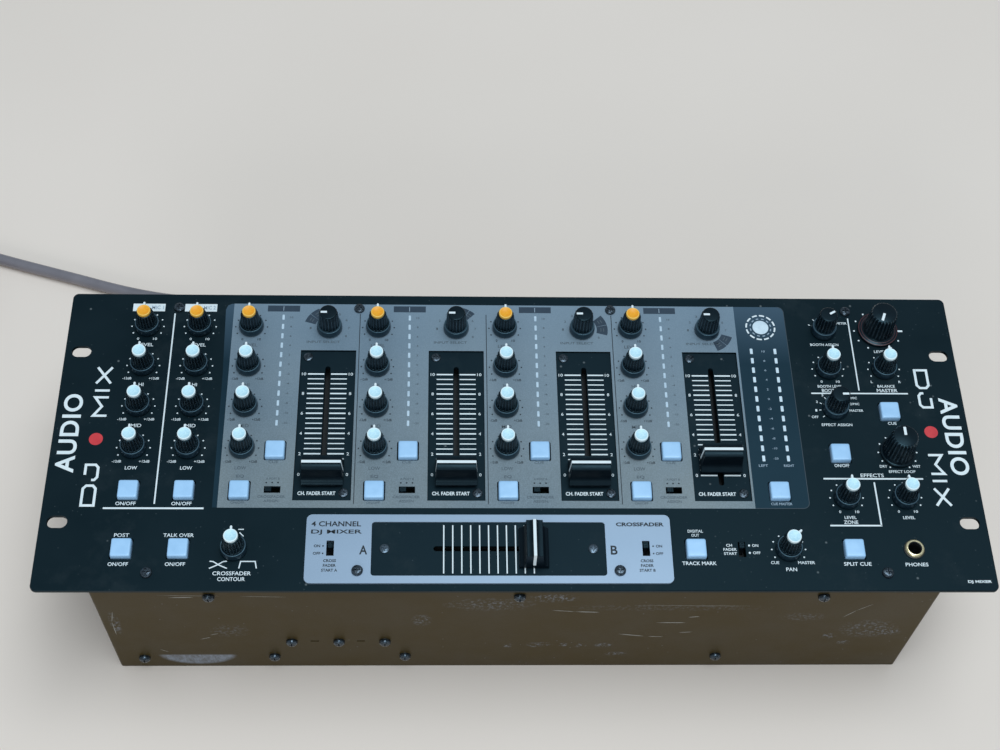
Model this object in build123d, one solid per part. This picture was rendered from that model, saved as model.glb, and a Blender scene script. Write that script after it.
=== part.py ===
from build123d import *
import math
import os

# Four-channel rack-mounting DJ mixer. Millimetres, +Z up, rear towards +Y.
# The origin is on the surface that the mixer stands on, under the middle of its control panel.

# ---------------------------------------------------------------- driving sizes
PANEL_WIDTH = 482.6  # 19 inch rack panel
PANEL_DEPTH = 177.0  # four rack units
PANEL_THICKNESS = 2.0
PANEL_CORNER = 3.0
HEIGHT = 109.0  # from the standing surface to the panel's top
RACK_SPACING_X = 465.1
RACK_SPACING_Y = 101.6
RACK_SLOT_LENGTH = 10.3
RACK_SLOT_WIDTH = 6.8

CASE_WIDTH = 430.0
CASE_DEPTH = 170.0
SHEET = 1.2
CASE_FLANGE = 5.0
TRAY_LIP = 14.0

# ---------------------------------------------------------------- control layout
ROW_PITCH = 25.1
TOP_ROW = 67.2
ROWS = [TOP_ROW - ROW_PITCH * row for row in range(4)]
BUTTON_ROW = -33.0
BOTTOM_ROW = -65.8

CHANNEL_COUNT = 4
CHANNEL_PITCH = 68.9
FIRST_METER_X = -125.8
EQ_OFFSET = -17.0
FADER_OFFSET = 25.4
SELECTOR_OFFSET = 25.4
SELECTOR_Y = 66.7
MIC_X = (-198.8, -170.6)
RIGHT_X = (170.4, 201.0)
BOOTH_ASSIGN_X = 170.9
EFFECT_ASSIGN_X = 171.3
EFFECT_MIX_Y = -9.5

FADER_PLATE_WIDTH = 29.8
FADER_PLATE_DEPTH = 90.9
FADER_PLATE_Y = 6.95
FADER_PLATE_DROP = 0.9  # how far the plate lies below the panel's top
FADER_ZERO_Y = -23.3
FADER_FOUR_LIFT = 8.0  # the fourth fader rests a little way up its scale

CROSS_PLATE = (-107.2, 77.2, -84.9, -47.0)  # silver surround: x low, x high, y low, y high
CROSS_INSET = (-74.1, 43.7, -80.7, -51.3)  # black plate inside it
CROSS_PLATE_THICKNESS = 1.2
CROSS_INSET_THICKNESS = 0.6
CROSS_INSET_CORNER = 1.5
CROSS_Y = -65.8
CROSS_RIGHT_X = 7.4
CROSS_TRAVEL = 45.3

# ---------------------------------------------------------------- control sizes
KNOB_GAP = 0.6  # between a knob's skirt and the panel
KNOB_HEIGHT = 16.0
BIG_KNOB_HEIGHT = 18.0
SHAFT_RADIUS = 3.0
SHAFT_HOLE_RADIUS = 3.8
SHAFT_DEPTH = 8.0  # below the panel's top
BUTTON_SIZE = 10.2
BUTTON_RISE = 2.7
BUTTON_GAP = 0.6
SWITCH_LONG = 8.4
SWITCH_SHORT = 3.8
NUB_LONG = 3.2
NUB_SHORT = 2.6
NUB_RISE = 1.2
NUB_REST = 2.0  # how far from the middle of its opening a nub rests
SLOT_WIDTH = 2.8
STEM_THICKNESS = 1.2
STEM_WIDTH = 4.0
CAP_RIDGE_WIDTH = 20.0
CAP_BASE_WIDTH = 21.8
CAP_BASE_DEPTH = 15.0
CAP_HEIGHT = 12.5
CAP_LIFT = 1.5  # the cap's underside above the panel's top

# ---------------------------------------------------------------- electronics
BOARD_TOP = 93.6
BOARD_THICKNESS = 1.6
POT_TOP = 102.6

# ---------------------------------------------------------------- sockets
JACK_RADIUS = 3.25
JACK_RISE = 2.4  # the mouth above the sheet that the jack is fixed to
JACK_BORE_DEPTH = 24.9
JACK_BODY_DEPTH = 22.0
PHONES_XY = (201.2, -65.8)
PHONO_RADIUS = 4.15
PHONO_LENGTH = 8.5
PHONO_HOLE_RADIUS = 1.6
MIC_JACK_XZ = (178.0, 34.0)
MIC_XLR_XZ = (178.0, 72.0)
POWER_SWITCH_XZ = (-168.0, 62.0)
CORD_EXIT_XZ = (-120.0, 20.0)
ROCKER_PIVOT_DEPTH = 2.0
ROCKER_TILT = 8.0  # the power rocker leans this far each way

# ---------------------------------------------------------------- mains lead
CORD_DIAMETER = 7.0
BUSH_END_Y = 107.5
COIL_CENTRE = (-377.9, 157.3)
COIL_TURN_RADII = (33.0, 40.0, 47.0, 54.0)
COIL_HEIGHT = 14.4
PLUG_ENTRY = (-412.5, 46.9, 9.0)

REAR_Y = CASE_DEPTH / 2
FRONT_Y = -CASE_DEPTH / 2
SIDE_X = CASE_WIDTH / 2
PANEL_UNDER = HEIGHT - PANEL_THICKNESS
PLATE_TOP = HEIGHT - FADER_PLATE_DROP


# ---------------------------------------------------------------- small helpers
def block(x0, x1, y0, y1, z0, z1):
    return Pos((x0 + x1) / 2, (y0 + y1) / 2, (z0 + z1) / 2) * Box(x1 - x0, y1 - y0, z1 - z0)


def centred(x, y, width, depth, z0, z1):
    return block(x - width / 2, x + width / 2, y - depth / 2, y + depth / 2, z0, z1)


def post(x, y, z0, z1, radius):
    return Pos(x, y, (z0 + z1) / 2) * Cylinder(radius, z1 - z0)


def bar_y(x, z, y0, y1, radius):
    """A round bar along Y."""
    return Pos(x, (y0 + y1) / 2, z) * Rot(90, 0, 0) * Cylinder(radius, y1 - y0)


def turned(profile, x=0.0, y=0.0, z=0.0):
    """A solid turned about a vertical axis from (radius, height) points."""
    face = make_face(Polyline(*[(radius, 0, height) for radius, height in profile], close=True))
    return Pos(x, y, z) * revolve(face, Axis.Z)


def rounded_plate(x0, x1, y0, y1, z0, z1, corner):
    outline = Pos((x0 + x1) / 2, (y0 + y1) / 2, z0) * RectangleRounded(x1 - x0, y1 - y0, corner)
    return extrude(outline, z1 - z0)


def slot_cutter(x, y, length, width, z0, z1, turn=0):
    outline = Pos(x, y, z0) * Rot(0, 0, turn) * SlotOverall(length, width)
    return extrude(outline, z1 - z0)


def channel_x(index, offset=0.0):
    return FIRST_METER_X + CHANNEL_PITCH * index + offset


def as_group(solids):
    return Compound(children=[piece for item in solids for piece in item.solids()])


# ---------------------------------------------------------------- where the controls are
def knob_places():
    """Node name, x, y and kind of every rotary control."""
    places = []
    bands = ("level", "high", "mid", "low")
    for number, x in enumerate(MIC_X, 1):
        for band, y in zip(bands, ROWS):
            places.append((f"mic_{number}_{band}_knob", x, y, "small"))
    for index in range(CHANNEL_COUNT):
        for band, y in zip(bands, ROWS):
            places.append((f"channel_{index + 1}_{band}_knob", channel_x(index, EQ_OFFSET), y, "small"))
        x = channel_x(index, SELECTOR_OFFSET)
        places.append((f"input_selector_{index + 1}", x, SELECTOR_Y, "selector"))
    places.append(("crossfader_contour_knob", -142.9, BOTTOM_ROW, "small"))
    places.append(("booth_assign_selector", BOOTH_ASSIGN_X, TOP_ROW, "selector"))
    places.append(("master_level_knob", RIGHT_X[1], TOP_ROW, "big"))
    places.append(("booth_level_knob", RIGHT_X[0], ROWS[1], "small"))
    places.append(("balance_knob", RIGHT_X[1], ROWS[1], "small"))
    places.append(("effect_assign_selector", EFFECT_ASSIGN_X, ROWS[2], "selector"))
    places.append(("effect_mix_knob", RIGHT_X[1], EFFECT_MIX_Y, "big"))
    places.append(("zone_level_knob", RIGHT_X[0], -36.4, "small"))
    places.append(("phones_level_knob", RIGHT_X[1], -36.2, "small"))
    places.append(("phones_pan_knob", 136.9, BOTTOM_ROW, "small"))
    return places


def channel_button_places():
    cue = [(channel_x(index, 0.2), -9.6) for index in range(CHANNEL_COUNT)]
    eq = [(channel_x(index, -16.8), BUTTON_ROW) for index in range(CHANNEL_COUNT)]
    return cue + eq


def master_button_places():
    mic = [(x, y) for x in MIC_X for y in (BUTTON_ROW, BOTTOM_ROW)]
    rest = [(135.8, BUTTON_ROW), (RIGHT_X[1] - 0.8, 15.2), (RIGHT_X[0], -10.4)]
    return mic + rest + [(89.7, BOTTOM_ROW), (RIGHT_X[0], BOTTOM_ROW)]


def assign_switch_places():
    return [(channel_x(index), -32.3) for index in range(CHANNEL_COUNT)]


def start_switch_places():
    return [(-94.8, BOTTOM_ROW), (64.2, BOTTOM_ROW), (113.1, BOTTOM_ROW)]


def fader_places():
    lifts = (0.0, 0.0, 0.0, FADER_FOUR_LIFT)
    return [(channel_x(index, FADER_OFFSET), FADER_ZERO_Y + lift) for index, lift in enumerate(lifts)]


def panel_screw_places():
    return [(-182.9, 79.4), (-84.6, 79.4), (53.6, 79.4), (184.5, 79.4), (-185.1, -78.9), (185.8, -78.9)]


def plate_screw_places():
    """The two countersunk screws of each channel fader plate."""
    half_width = FADER_PLATE_WIDTH / 2 - 4.0
    places = []
    for index in range(CHANNEL_COUNT):
        x = channel_x(index, FADER_OFFSET)
        places.append((x - half_width, FADER_PLATE_Y + FADER_PLATE_DEPTH / 2 - 3.8))
        places.append((x + half_width, FADER_PLATE_Y - FADER_PLATE_DEPTH / 2 + 4.8))
    return places


CROSS_PLATE_SCREWS = [(-80.9, -78.2), (50.4, -78.2)]
CROSS_INSET_SCREWS = [(-67.6, -65.9), (37.5, -65.9)]
FRONT_TOP_SCREWS = [(x, HEIGHT - 14.3) for x in (-155.7, 0.7, 155.6)]
FRONT_LOW_SCREWS = [(-199.9, 13.0), (-129.3, 15.0), (-58.5, 15.5), (111.8, 15.0)]
HEAT_SINK_SCREWS = [(x, 35.8) for x in (-118.5, -93.4, -68.9)]
HEAT_SINK_SLOTS = [(x, 35.5) for x in (-106.4, -81.8)]
REAR_SCREWS = [(x, z) for x in (-204.0, -30.0, 204.0) for z in (8.0, 96.0)]
SIDE_SCREWS = [(y, 8.0) for y in (-60.0, 0.0, 60.0)]


# ---------------------------------------------------------------- panel and plates
def front_panel():
    half_width = PANEL_WIDTH / 2
    half_depth = PANEL_DEPTH / 2
    panel = rounded_plate(
        -half_width, half_width, -half_depth, half_depth, PANEL_UNDER, HEIGHT, PANEL_CORNER
    )
    top_edges = panel.faces().sort_by(Axis.Z)[-1].edges()
    panel = chamfer(top_edges, 0.3)
    low = PANEL_UNDER - 1
    high = HEIGHT + 1
    cuts = []
    for x in (-RACK_SPACING_X / 2, RACK_SPACING_X / 2):
        for y in (-RACK_SPACING_Y / 2, RACK_SPACING_Y / 2):
            cuts.append(slot_cutter(x, y, RACK_SLOT_LENGTH, RACK_SLOT_WIDTH, low, high))
    for _, x, y, _ in knob_places():
        cuts.append(post(x, y, low, high, SHAFT_HOLE_RADIUS))
    hole = BUTTON_SIZE + 2 * BUTTON_GAP
    for x, y in channel_button_places() + master_button_places():
        cuts.append(rounded_plate(x - hole / 2, x + hole / 2, y - hole / 2, y + hole / 2, low, high, 1.0))
    for x, y in assign_switch_places():
        cuts.append(centred(x, y, SWITCH_LONG, SWITCH_SHORT, low, high))
    for x, y in start_switch_places():
        cuts.append(centred(x, y, SWITCH_SHORT, SWITCH_LONG, low, high))
    for index in range(CHANNEL_COUNT):
        x = channel_x(index, FADER_OFFSET)
        cuts.append(centred(x, FADER_PLATE_Y, FADER_PLATE_WIDTH, FADER_PLATE_DEPTH, low, high))
    cross_middle = CROSS_RIGHT_X - CROSS_TRAVEL / 2
    cuts.append(slot_cutter(cross_middle, CROSS_Y, CROSS_TRAVEL + 14, 8, low, high))
    cuts.append(post(*PHONES_XY, low, high, 4.8))
    for x, y in panel_screw_places() + CROSS_PLATE_SCREWS + CROSS_INSET_SCREWS:
        cuts.append(post(x, y, low, high, 1.5))
    return panel - cuts


def fader_plates():
    """Four black plates behind the panel's cut-outs, and the crossfader's own black plate."""
    plates = []
    rim = 1.6
    flange_low = PANEL_UNDER - 1.0
    for index in range(CHANNEL_COUNT):
        x = channel_x(index, FADER_OFFSET)
        width = FADER_PLATE_WIDTH + 2 * rim
        depth = FADER_PLATE_DEPTH + 2 * rim
        plate = centred(x, FADER_PLATE_Y, width, depth, flange_low, PANEL_UNDER)
        width, depth = FADER_PLATE_WIDTH - 0.4, FADER_PLATE_DEPTH - 0.4
        raised = centred(x, FADER_PLATE_Y, width, depth, flange_low, PLATE_TOP)
        slot = slot_cutter(x, 6.95, 71.6, SLOT_WIDTH, flange_low - 1, HEIGHT, 90)
        plates.append(plate + raised - slot)
    screws = [post(x, y, flange_low - 1, HEIGHT, 1.1) for x, y in plate_screw_places()]
    plates = [plate - screws for plate in plates]
    x0, x1, y0, y1 = CROSS_INSET
    inset = rounded_plate(x0, x1, y0, y1, HEIGHT, HEIGHT + CROSS_INSET_THICKNESS, CROSS_INSET_CORNER)
    slot_x = CROSS_RIGHT_X - CROSS_TRAVEL / 2
    slot = slot_cutter(slot_x, CROSS_Y, 55.7, SLOT_WIDTH, HEIGHT - 1, HEIGHT + 2)
    holes = [post(x, y, HEIGHT - 1, HEIGHT + 2, 1.1) for x, y in CROSS_INSET_SCREWS]
    plates.append(inset - slot - holes)
    return as_group(plates)


def crossfader_plate():
    x0, x1, y0, y1 = CROSS_PLATE
    top = HEIGHT + CROSS_PLATE_THICKNESS
    plate = rounded_plate(x0, x1, y0, y1, HEIGHT, top, 3.0)
    ix0, ix1, iy0, iy1 = CROSS_INSET
    gap = 0.15
    window = rounded_plate(
        ix0 - gap, ix1 + gap, iy0 - gap, iy1 + gap, HEIGHT - 1, top + 1, CROSS_INSET_CORNER + gap
    )
    cuts = [post(x, y, HEIGHT - 1, top + 1, 1.5) for x, y in CROSS_PLATE_SCREWS]
    for x, y in start_switch_places()[:2]:
        cuts.append(centred(x, y, SWITCH_SHORT, SWITCH_LONG, HEIGHT - 1, top + 1))
    return plate - window - cuts


# ---------------------------------------------------------------- case
def case_wrap():
    """Front wall and both sides, bent from one sheet, with flanges under the panel."""
    outer = rounded_plate(-SIDE_X, SIDE_X, FRONT_Y, REAR_Y + 10, 0, PANEL_UNDER, 1.6)
    inner = block(
        -SIDE_X + SHEET, SIDE_X - SHEET, FRONT_Y + SHEET, REAR_Y + 20, -1, PANEL_UNDER - SHEET
    )
    opening = block(
        -SIDE_X + CASE_FLANGE, SIDE_X - CASE_FLANGE, FRONT_Y + CASE_FLANGE, REAR_Y + 20, 50, HEIGHT
    )
    beyond = block(-SIDE_X - 1, SIDE_X + 1, REAR_Y, REAR_Y + 20, -1, HEIGHT)
    wrap = outer - inner - opening - beyond
    holes = []
    for x, z in FRONT_TOP_SCREWS + FRONT_LOW_SCREWS + HEAT_SINK_SCREWS:
        holes.append(bar_y(x, z, FRONT_Y - 1, FRONT_Y + 4, 1.5))
    for x, z in HEAT_SINK_SLOTS:
        holes.append(Pos(x, FRONT_Y, z) * Box(4.4, 2.8, 1.2))
    for side in (-1, 1):
        for y, z in SIDE_SCREWS:
            holes.append(Pos(side * SIDE_X, y, z) * Rot(0, 90, 0) * Cylinder(1.5, 6))
    for x, y in panel_screw_places() + CROSS_PLATE_SCREWS:
        holes.append(post(x, y, PANEL_UNDER - 3, HEIGHT, 1.5))
    return wrap - holes


def chassis_tray():
    """Bottom with low lips on three sides, and the rear wall that carries the sockets."""
    inside_x = SIDE_X - SHEET
    inside_y = FRONT_Y + SHEET
    tray = block(-inside_x, inside_x, inside_y, REAR_Y, 0, SHEET)
    tray += block(-inside_x, inside_x, REAR_Y - SHEET, REAR_Y, 0, PANEL_UNDER - SHEET)
    tray += block(-inside_x, inside_x, inside_y, inside_y + SHEET, 0, TRAY_LIP)
    tray += block(-inside_x, -inside_x + SHEET, inside_y, REAR_Y, 0, TRAY_LIP)
    tray += block(inside_x - SHEET, inside_x, inside_y, REAR_Y, 0, TRAY_LIP)
    top_flange_x = SIDE_X - CASE_FLANGE - 0.5
    flange_y = REAR_Y - CASE_FLANGE
    tray += block(-top_flange_x, top_flange_x, flange_y, REAR_Y, PANEL_UNDER - SHEET, PANEL_UNDER)
    cuts = []
    for x, z in phono_places():
        cuts.append(bar_y(x, z, REAR_Y - 4, REAR_Y + 2, PHONO_RADIUS + 0.3))
    cuts.append(bar_y(*MIC_JACK_XZ, REAR_Y - 4, REAR_Y + 2, 4.8))
    cuts.append(bar_y(*MIC_XLR_XZ, REAR_Y - 4, REAR_Y + 2, 11.2))
    cuts.append(bar_y(*CORD_EXIT_XZ, REAR_Y - 4, REAR_Y + 2, 7.5))
    sx, sz = POWER_SWITCH_XZ
    cuts.append(block(sx - 7, sx + 7, REAR_Y - 4, REAR_Y + 2, sz - 10, sz + 10))
    for x, z in REAR_SCREWS:
        cuts.append(bar_y(x, z, REAR_Y - 4, REAR_Y + 2, 1.5))
    for x, y in panel_screw_places():
        cuts.append(post(x, y, PANEL_UNDER - 3, HEIGHT, 1.5))
    for x, z in FRONT_LOW_SCREWS:
        if z < TRAY_LIP:
            cuts.append(bar_y(x, z, inside_y - 1, inside_y + 3, 1.5))
    for side in (-1, 1):
        for y, z in SIDE_SCREWS:
            cuts.append(Pos(side * inside_x, y, z) * Rot(0, 90, 0) * Cylinder(1.5, 6))
    return tray - cuts


# ---------------------------------------------------------------- inside the case
def pot_body(x, y):
    body = centred(x, y, 11.0, 12.0, BOARD_TOP, POT_TOP)
    return body - post(x, y, POT_TOP - 3.4, POT_TOP + 1, SHAFT_RADIUS + 0.7)


def fader_body(x, y, along_x, top):
    """The metal channel that a fader's carriage runs in."""
    length = 88.0 if not along_x else 74.0
    groove_length = 74.0 if not along_x else 60.0
    turn = 90 if along_x else 0
    body = Box(14.0, length, top - BOARD_TOP)
    groove = Pos(0, 0, (top - BOARD_TOP) / 2 - 3.0) * Box(3.4, groove_length, 6.4)
    return Pos(x, y, (top + BOARD_TOP) / 2) * Rot(0, 0, turn) * (body - groove)


def internal_electronics():
    """Control board with its potentiometers, faders and switches, main board and mains transformer."""
    control_board = block(-206, 206, -76, 76, BOARD_TOP - BOARD_THICKNESS, BOARD_TOP)
    solids = [control_board - centred(*PHONES_XY, 14, 16, BOARD_TOP - 5, BOARD_TOP + 5)]
    for _, x, y, _ in knob_places():
        solids.append(pot_body(x, y))
    for index in range(CHANNEL_COUNT):
        solids.append(fader_body(channel_x(index, FADER_OFFSET), FADER_PLATE_Y, False, 105.8))
    cross_middle = CROSS_RIGHT_X - CROSS_TRAVEL / 2
    solids.append(fader_body(cross_middle, CROSS_Y, True, 106.5))
    for x, y in channel_button_places() + master_button_places():
        solids.append(centred(x, y, 6.0, 6.0, BOARD_TOP, 98.4))
    for x, y in assign_switch_places():
        solids.append(centred(x, y, 9.0, 4.6, BOARD_TOP, 101.4))
    for x, y in start_switch_places():
        solids.append(centred(x, y, 4.6, 9.0, BOARD_TOP, 101.4))
    board_low = 12.0
    solids.append(block(-92, 200, -68, 56, board_low, board_low + BOARD_THICKNESS))
    for x in (-86, 54, 194):
        for y in (-62, 50):
            solids.append(post(x, y, SHEET, board_low, 3.0))
    solids.append(block(-130, -60, FRONT_Y + SHEET, FRONT_Y + 9, 24, 50))
    core = block(-182, -122, 12, 50, SHEET, 51.0)
    windings = [block(-172, -132, -2, 12, 10, 42), block(-172, -132, 50, 62, 10, 42)]
    return as_group(solids + [core] + windings)


# ---------------------------------------------------------------- sockets
def phono_places():
    """Phono sockets: five rows of four inputs, then the outputs."""
    places = []
    for column in range(4):
        for z in (84.0, 68.0, 52.0, 36.0, 20.0):
            places.append((-74.0 + 26.0 * column, z))
    for x in (52.0, 78.0, 104.0, 130.0):
        for z in (84.0, 68.0):
            places.append((x, z))
    places.append((52.0, 36.0))
    return places


def phono_socket(x, z):
    collar = bar_y(x, z, REAR_Y, REAR_Y + 1.4, 5.6)
    barrel = bar_y(x, z, REAR_Y - 10, REAR_Y + PHONO_LENGTH + 1.4, PHONO_RADIUS)
    hole = bar_y(x, z, REAR_Y - 2, REAR_Y + 20, PHONO_HOLE_RADIUS)
    return collar + barrel - hole


def jack_socket(sheet):
    """A quarter-inch jack socket facing +Z through a sheet whose outer face is at z 0."""
    body = centred(0, 0, 12, 14, -sheet - JACK_BODY_DEPTH, -sheet)
    bush = post(0, 0, -sheet - 1, JACK_RISE, 4.5)
    nut = post(0, 0, 0, JACK_RISE - 0.6, 5.4)
    bore = post(0, 0, JACK_RISE - JACK_BORE_DEPTH, JACK_RISE + 1, JACK_RADIUS)
    return body + bush + nut - bore


def xlr_socket():
    """A female three-pole socket facing +Y, its flange's back on the rear wall."""
    x, z = MIC_XLR_XZ
    flange = Pos(x, REAR_Y + 0.8, z) * Box(26, 1.6, 31)
    shell = bar_y(x, z, REAR_Y - 18, REAR_Y + 0.8, 10.8)
    insert = bar_y(x, z, REAR_Y, REAR_Y + 3.0, 8.4)
    socket = flange + shell + insert
    contacts = [(x - 3.8, z + 1.9), (x + 3.8, z + 1.9), (x, z - 3.4)]
    return socket - [bar_y(cx, cz, REAR_Y - 6, REAR_Y + 5, 1.25) for cx, cz in contacts]


def switch_bezel():
    x, z = POWER_SWITCH_XZ
    outer = Pos(x, REAR_Y + 1.0, z) * Box(17, 2.0, 23)
    sleeve = Pos(x, REAR_Y - 6.0, z) * Box(13.6, 12.0, 19.6)
    window = Pos(x, REAR_Y, z) * Box(11.6, 16.0, 17.6)
    return outer + sleeve - window


def audio_sockets():
    solids = [phono_socket(x, z) for x, z in phono_places()]
    phones = Pos(PHONES_XY[0], PHONES_XY[1], HEIGHT) * jack_socket(PANEL_THICKNESS)
    mic = Pos(MIC_JACK_XZ[0], REAR_Y, MIC_JACK_XZ[1]) * Rot(-90, 0, 0) * jack_socket(SHEET)
    return as_group(solids + [phones, mic, xlr_socket(), switch_bezel()])


# ---------------------------------------------------------------- screws
def screw(head_radius, head_height, shank_length):
    """A pan-head cross-recess screw whose head stands on z 0, its shank pointing down."""
    profile = [
        (0, 0), (head_radius, 0), (head_radius, head_height * 0.4),
        (head_radius * 0.93, head_height * 0.68), (head_radius * 0.7, head_height * 0.92),
        (head_radius * 0.35, head_height), (0, head_height),
    ]
    head = turned(profile)
    shank = Pos(0, 0, -shank_length / 2) * Cylinder(1.0, shank_length)
    arm = head_radius * 1.15
    deep = min(2.0, head_height)
    recess = Pos(0, 0, head_height) * (Box(arm, 0.6, deep) + Box(0.6, arm, deep))
    return head + shank - recess


def screws():
    wide = screw(2.9, 1.7, 4.0)
    wall = screw(3.1, 2.6, 4.0)
    short = screw(3.1, 2.6, 1.2)
    narrow = screw(2.6, 0.9, 3.0)
    solids = [Pos(x, y, HEIGHT) * wide for x, y in panel_screw_places()]
    solids += [Pos(x, y, HEIGHT + CROSS_PLATE_THICKNESS) * wide for x, y in CROSS_PLATE_SCREWS]
    solids += [Pos(x, y, HEIGHT + CROSS_INSET_THICKNESS) * narrow for x, y in CROSS_INSET_SCREWS]
    solids += [Pos(x, y, PLATE_TOP) * narrow for x, y in plate_screw_places()]
    solids += [Pos(x, FRONT_Y, z) * Rot(90, 0, 0) * wall for x, z in FRONT_TOP_SCREWS + FRONT_LOW_SCREWS]
    solids += [Pos(x, FRONT_Y, z) * Rot(90, 0, 0) * short for x, z in HEAT_SINK_SCREWS]
    solids += [Pos(x, REAR_Y, z) * Rot(-90, 0, 0) * wide for x, z in REAR_SCREWS]
    for side in (-1, 1):
        for y, z in SIDE_SCREWS:
            solids.append(Pos(side * SIDE_X, y, z) * Rot(0, side * 90, 0) * wide)
    return as_group(solids)


# ---------------------------------------------------------------- rotary controls
def shaft(foot):
    """The spindle that hangs below a knob whose skirt starts at height foot."""
    length = SHAFT_DEPTH + foot + 0.5
    return Pos(0, 0, foot + 0.5 - length / 2) * Cylinder(SHAFT_RADIUS, length)


def skirt(foot, radius, grip_radius):
    """The flared ring round a knob's foot, up to the groove where the grip starts."""
    return [
        (0, foot), (radius, foot), (radius, 1.8), (radius - 0.3, 4.2), (radius - 0.6, 4.7),
        (grip_radius + 0.4, 4.6), (grip_radius, 4.4),
    ]


def small_knob():
    """Black body with a flared skirt, and a coloured cap whose pointer shows over its edge."""
    foot = KNOB_GAP
    body_top = KNOB_HEIGHT - 1.8
    body = turned(skirt(foot, 6.75, 5.0) + [(4.3, body_top - 0.7), (3.9, body_top), (0, body_top)])
    cap = turned([
        (0, body_top), (3.6, body_top), (3.6, KNOB_HEIGHT - 0.4), (3.3, KNOB_HEIGHT), (0, KNOB_HEIGHT),
    ]) + block(-0.6, 0.6, 2.5, 5.2, body_top, KNOB_HEIGHT - 0.5)
    return [body + shaft(foot), cap]


def selector_knob():
    """Black body with a flared skirt, a flat top and an inlaid white line."""
    foot = KNOB_GAP
    grip = [(4.9, KNOB_HEIGHT - 0.8), (4.4, KNOB_HEIGHT), (0, KNOB_HEIGHT)]
    body = turned(skirt(foot, 6.9, 5.4) + grip)
    line = block(-0.6, 0.6, 0.6, 4.0, KNOB_HEIGHT - 0.3, KNOB_HEIGHT)
    return [body + shaft(foot) - line, line]


def big_knob(skirt_radius, base_radius, top_radius):
    """Stepped knob: a thin skirt, a tapering grip and an inlaid pointer line."""
    foot = KNOB_GAP
    body = turned([
        (0, foot), (skirt_radius, foot), (skirt_radius, 1.6), (base_radius, 2.8),
        (base_radius - 0.4, 5.0), (top_radius + 0.3, BIG_KNOB_HEIGHT - 1.0),
        (top_radius - 0.4, BIG_KNOB_HEIGHT), (0, BIG_KNOB_HEIGHT),
    ]) + shaft(foot)
    line = block(-0.7, 0.7, 0.5, top_radius - 1.2, BIG_KNOB_HEIGHT - 0.3, BIG_KNOB_HEIGHT)
    return [body - line, line]


# Clockwise angle of each pointer at rest, where it isn't straight up the panel.
REST_ANGLES = {
    "input_selector_1": -90, "input_selector_2": -90, "input_selector_3": -90, "input_selector_4": -90,
    "booth_assign_selector": 60, "effect_assign_selector": 90, "master_level_knob": -159,
    "phones_pan_knob": 50, "phones_level_knob": -15,
}


def knob(name, x, y, kind):
    if kind == "small":
        solids = small_knob()
    elif kind == "selector":
        solids = selector_knob()
    elif name == "master_level_knob":
        solids = big_knob(11.0, 8.2, 6.7)
    else:
        solids = big_knob(9.3, 8.0, 6.5)
    turn = -REST_ANGLES.get(name, 0)
    return as_group([Pos(x, y, HEIGHT) * Rot(0, 0, turn) * solid for solid in solids])


# ---------------------------------------------------------------- faders
def fader_cap():
    """A tall cap on a flared foot that slides along Y, with its stem; its raised ridge runs along X."""
    half = CAP_BASE_DEPTH / 2
    outline = [
        (half, 0), (half, 1.2), (5.6, 2.4), (4.75, 4.4), (4.2, CAP_HEIGHT - 1.4), (3.9, CAP_HEIGHT - 1.0),
        (1.3, CAP_HEIGHT - 0.6), (0.8, CAP_HEIGHT),
    ]
    outline += [(-y, z) for y, z in reversed(outline)]
    section = Plane.YZ * make_face(Polyline(*outline, close=True))
    cap = extrude(section, CAP_BASE_WIDTH / 2, both=True)
    draft = math.degrees(math.atan2((CAP_BASE_WIDTH - CAP_RIDGE_WIDTH) / 2, CAP_HEIGHT))
    for side in (-1, 1):
        trim = Box(10, 40, 60)
        edge = Pos(side * CAP_BASE_WIDTH / 2, 0, 0) * Rot(0, -side * draft, 0) * Pos(side * 5, 0, 0)
        cap -= edge * trim
    stem_low = -8.4
    stem_x, stem_y = STEM_THICKNESS / 2, STEM_WIDTH / 2
    stem = block(-stem_x, stem_x, -stem_y, stem_y, stem_low, CAP_LIFT + 1)
    return Pos(0, 0, CAP_LIFT) * cap + stem


# ---------------------------------------------------------------- buttons and switches
def button(x, y):
    half = BUTTON_SIZE / 2
    top = HEIGHT + BUTTON_RISE
    cap = rounded_plate(x - half, x + half, y - half, y + half, PANEL_UNDER - 2.5, top, 0.8)
    cap = fillet(cap.faces().sort_by(Axis.Z)[-1].edges(), 0.5)
    return cap + centred(x, y, 3.0, 3.0, 100.6, PANEL_UNDER - 2.0)


def switch_nub(x, y, long_x, long_y):
    return centred(x, y, long_x, long_y, 102.2, HEIGHT + NUB_RISE)


def power_switch():
    """The rocker, its upper half pressed in, on a pivot across the bezel."""
    x, z = POWER_SWITCH_XZ
    half_width = 5.0
    outline = Polyline((4.4, 7.2), (3.4, 0), (4.4, -7.2), (-3.0, -6.5), (-3.0, 6.5), close=True)
    rocker = extrude(Plane.YZ * make_face(outline), half_width, both=True)
    return Pos(x, REAR_Y - ROCKER_PIVOT_DEPTH, z) * Rot(ROCKER_TILT, 0, 0) * rocker


# ---------------------------------------------------------------- mains lead
LEAD_POINTS = [
    (-120.0, 107.5, 20.0), (-120.0, 120.0, 20.0), (-124.3, 131.7, 19.6), (-132.3, 141.3, 18.0),
    (-142.9, 147.9, 15.0), (-156.0, 151.5, 11.2), (-173.0, 153.3, 7.4), (-191.0, 154.4, 4.8),
    (-209.5, 156.4, 3.7), (-229.8, 160.3, 3.6), (-248.5, 165.2, 3.6), (-268.0, 171.3, 3.6),
    (-311.0, 183.9, 3.6), (-339.5, 193.2, 3.6), (-362.0, 201.5, 3.6),
]
TAIL_POINTS = [
    (-428.6, 138.8, 3.6), (-420.8, 116.0, 3.6), (-415.2, 93.0, 5.0), (-412.5, 69.6, 9.0), PLUG_ENTRY,
]


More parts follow.
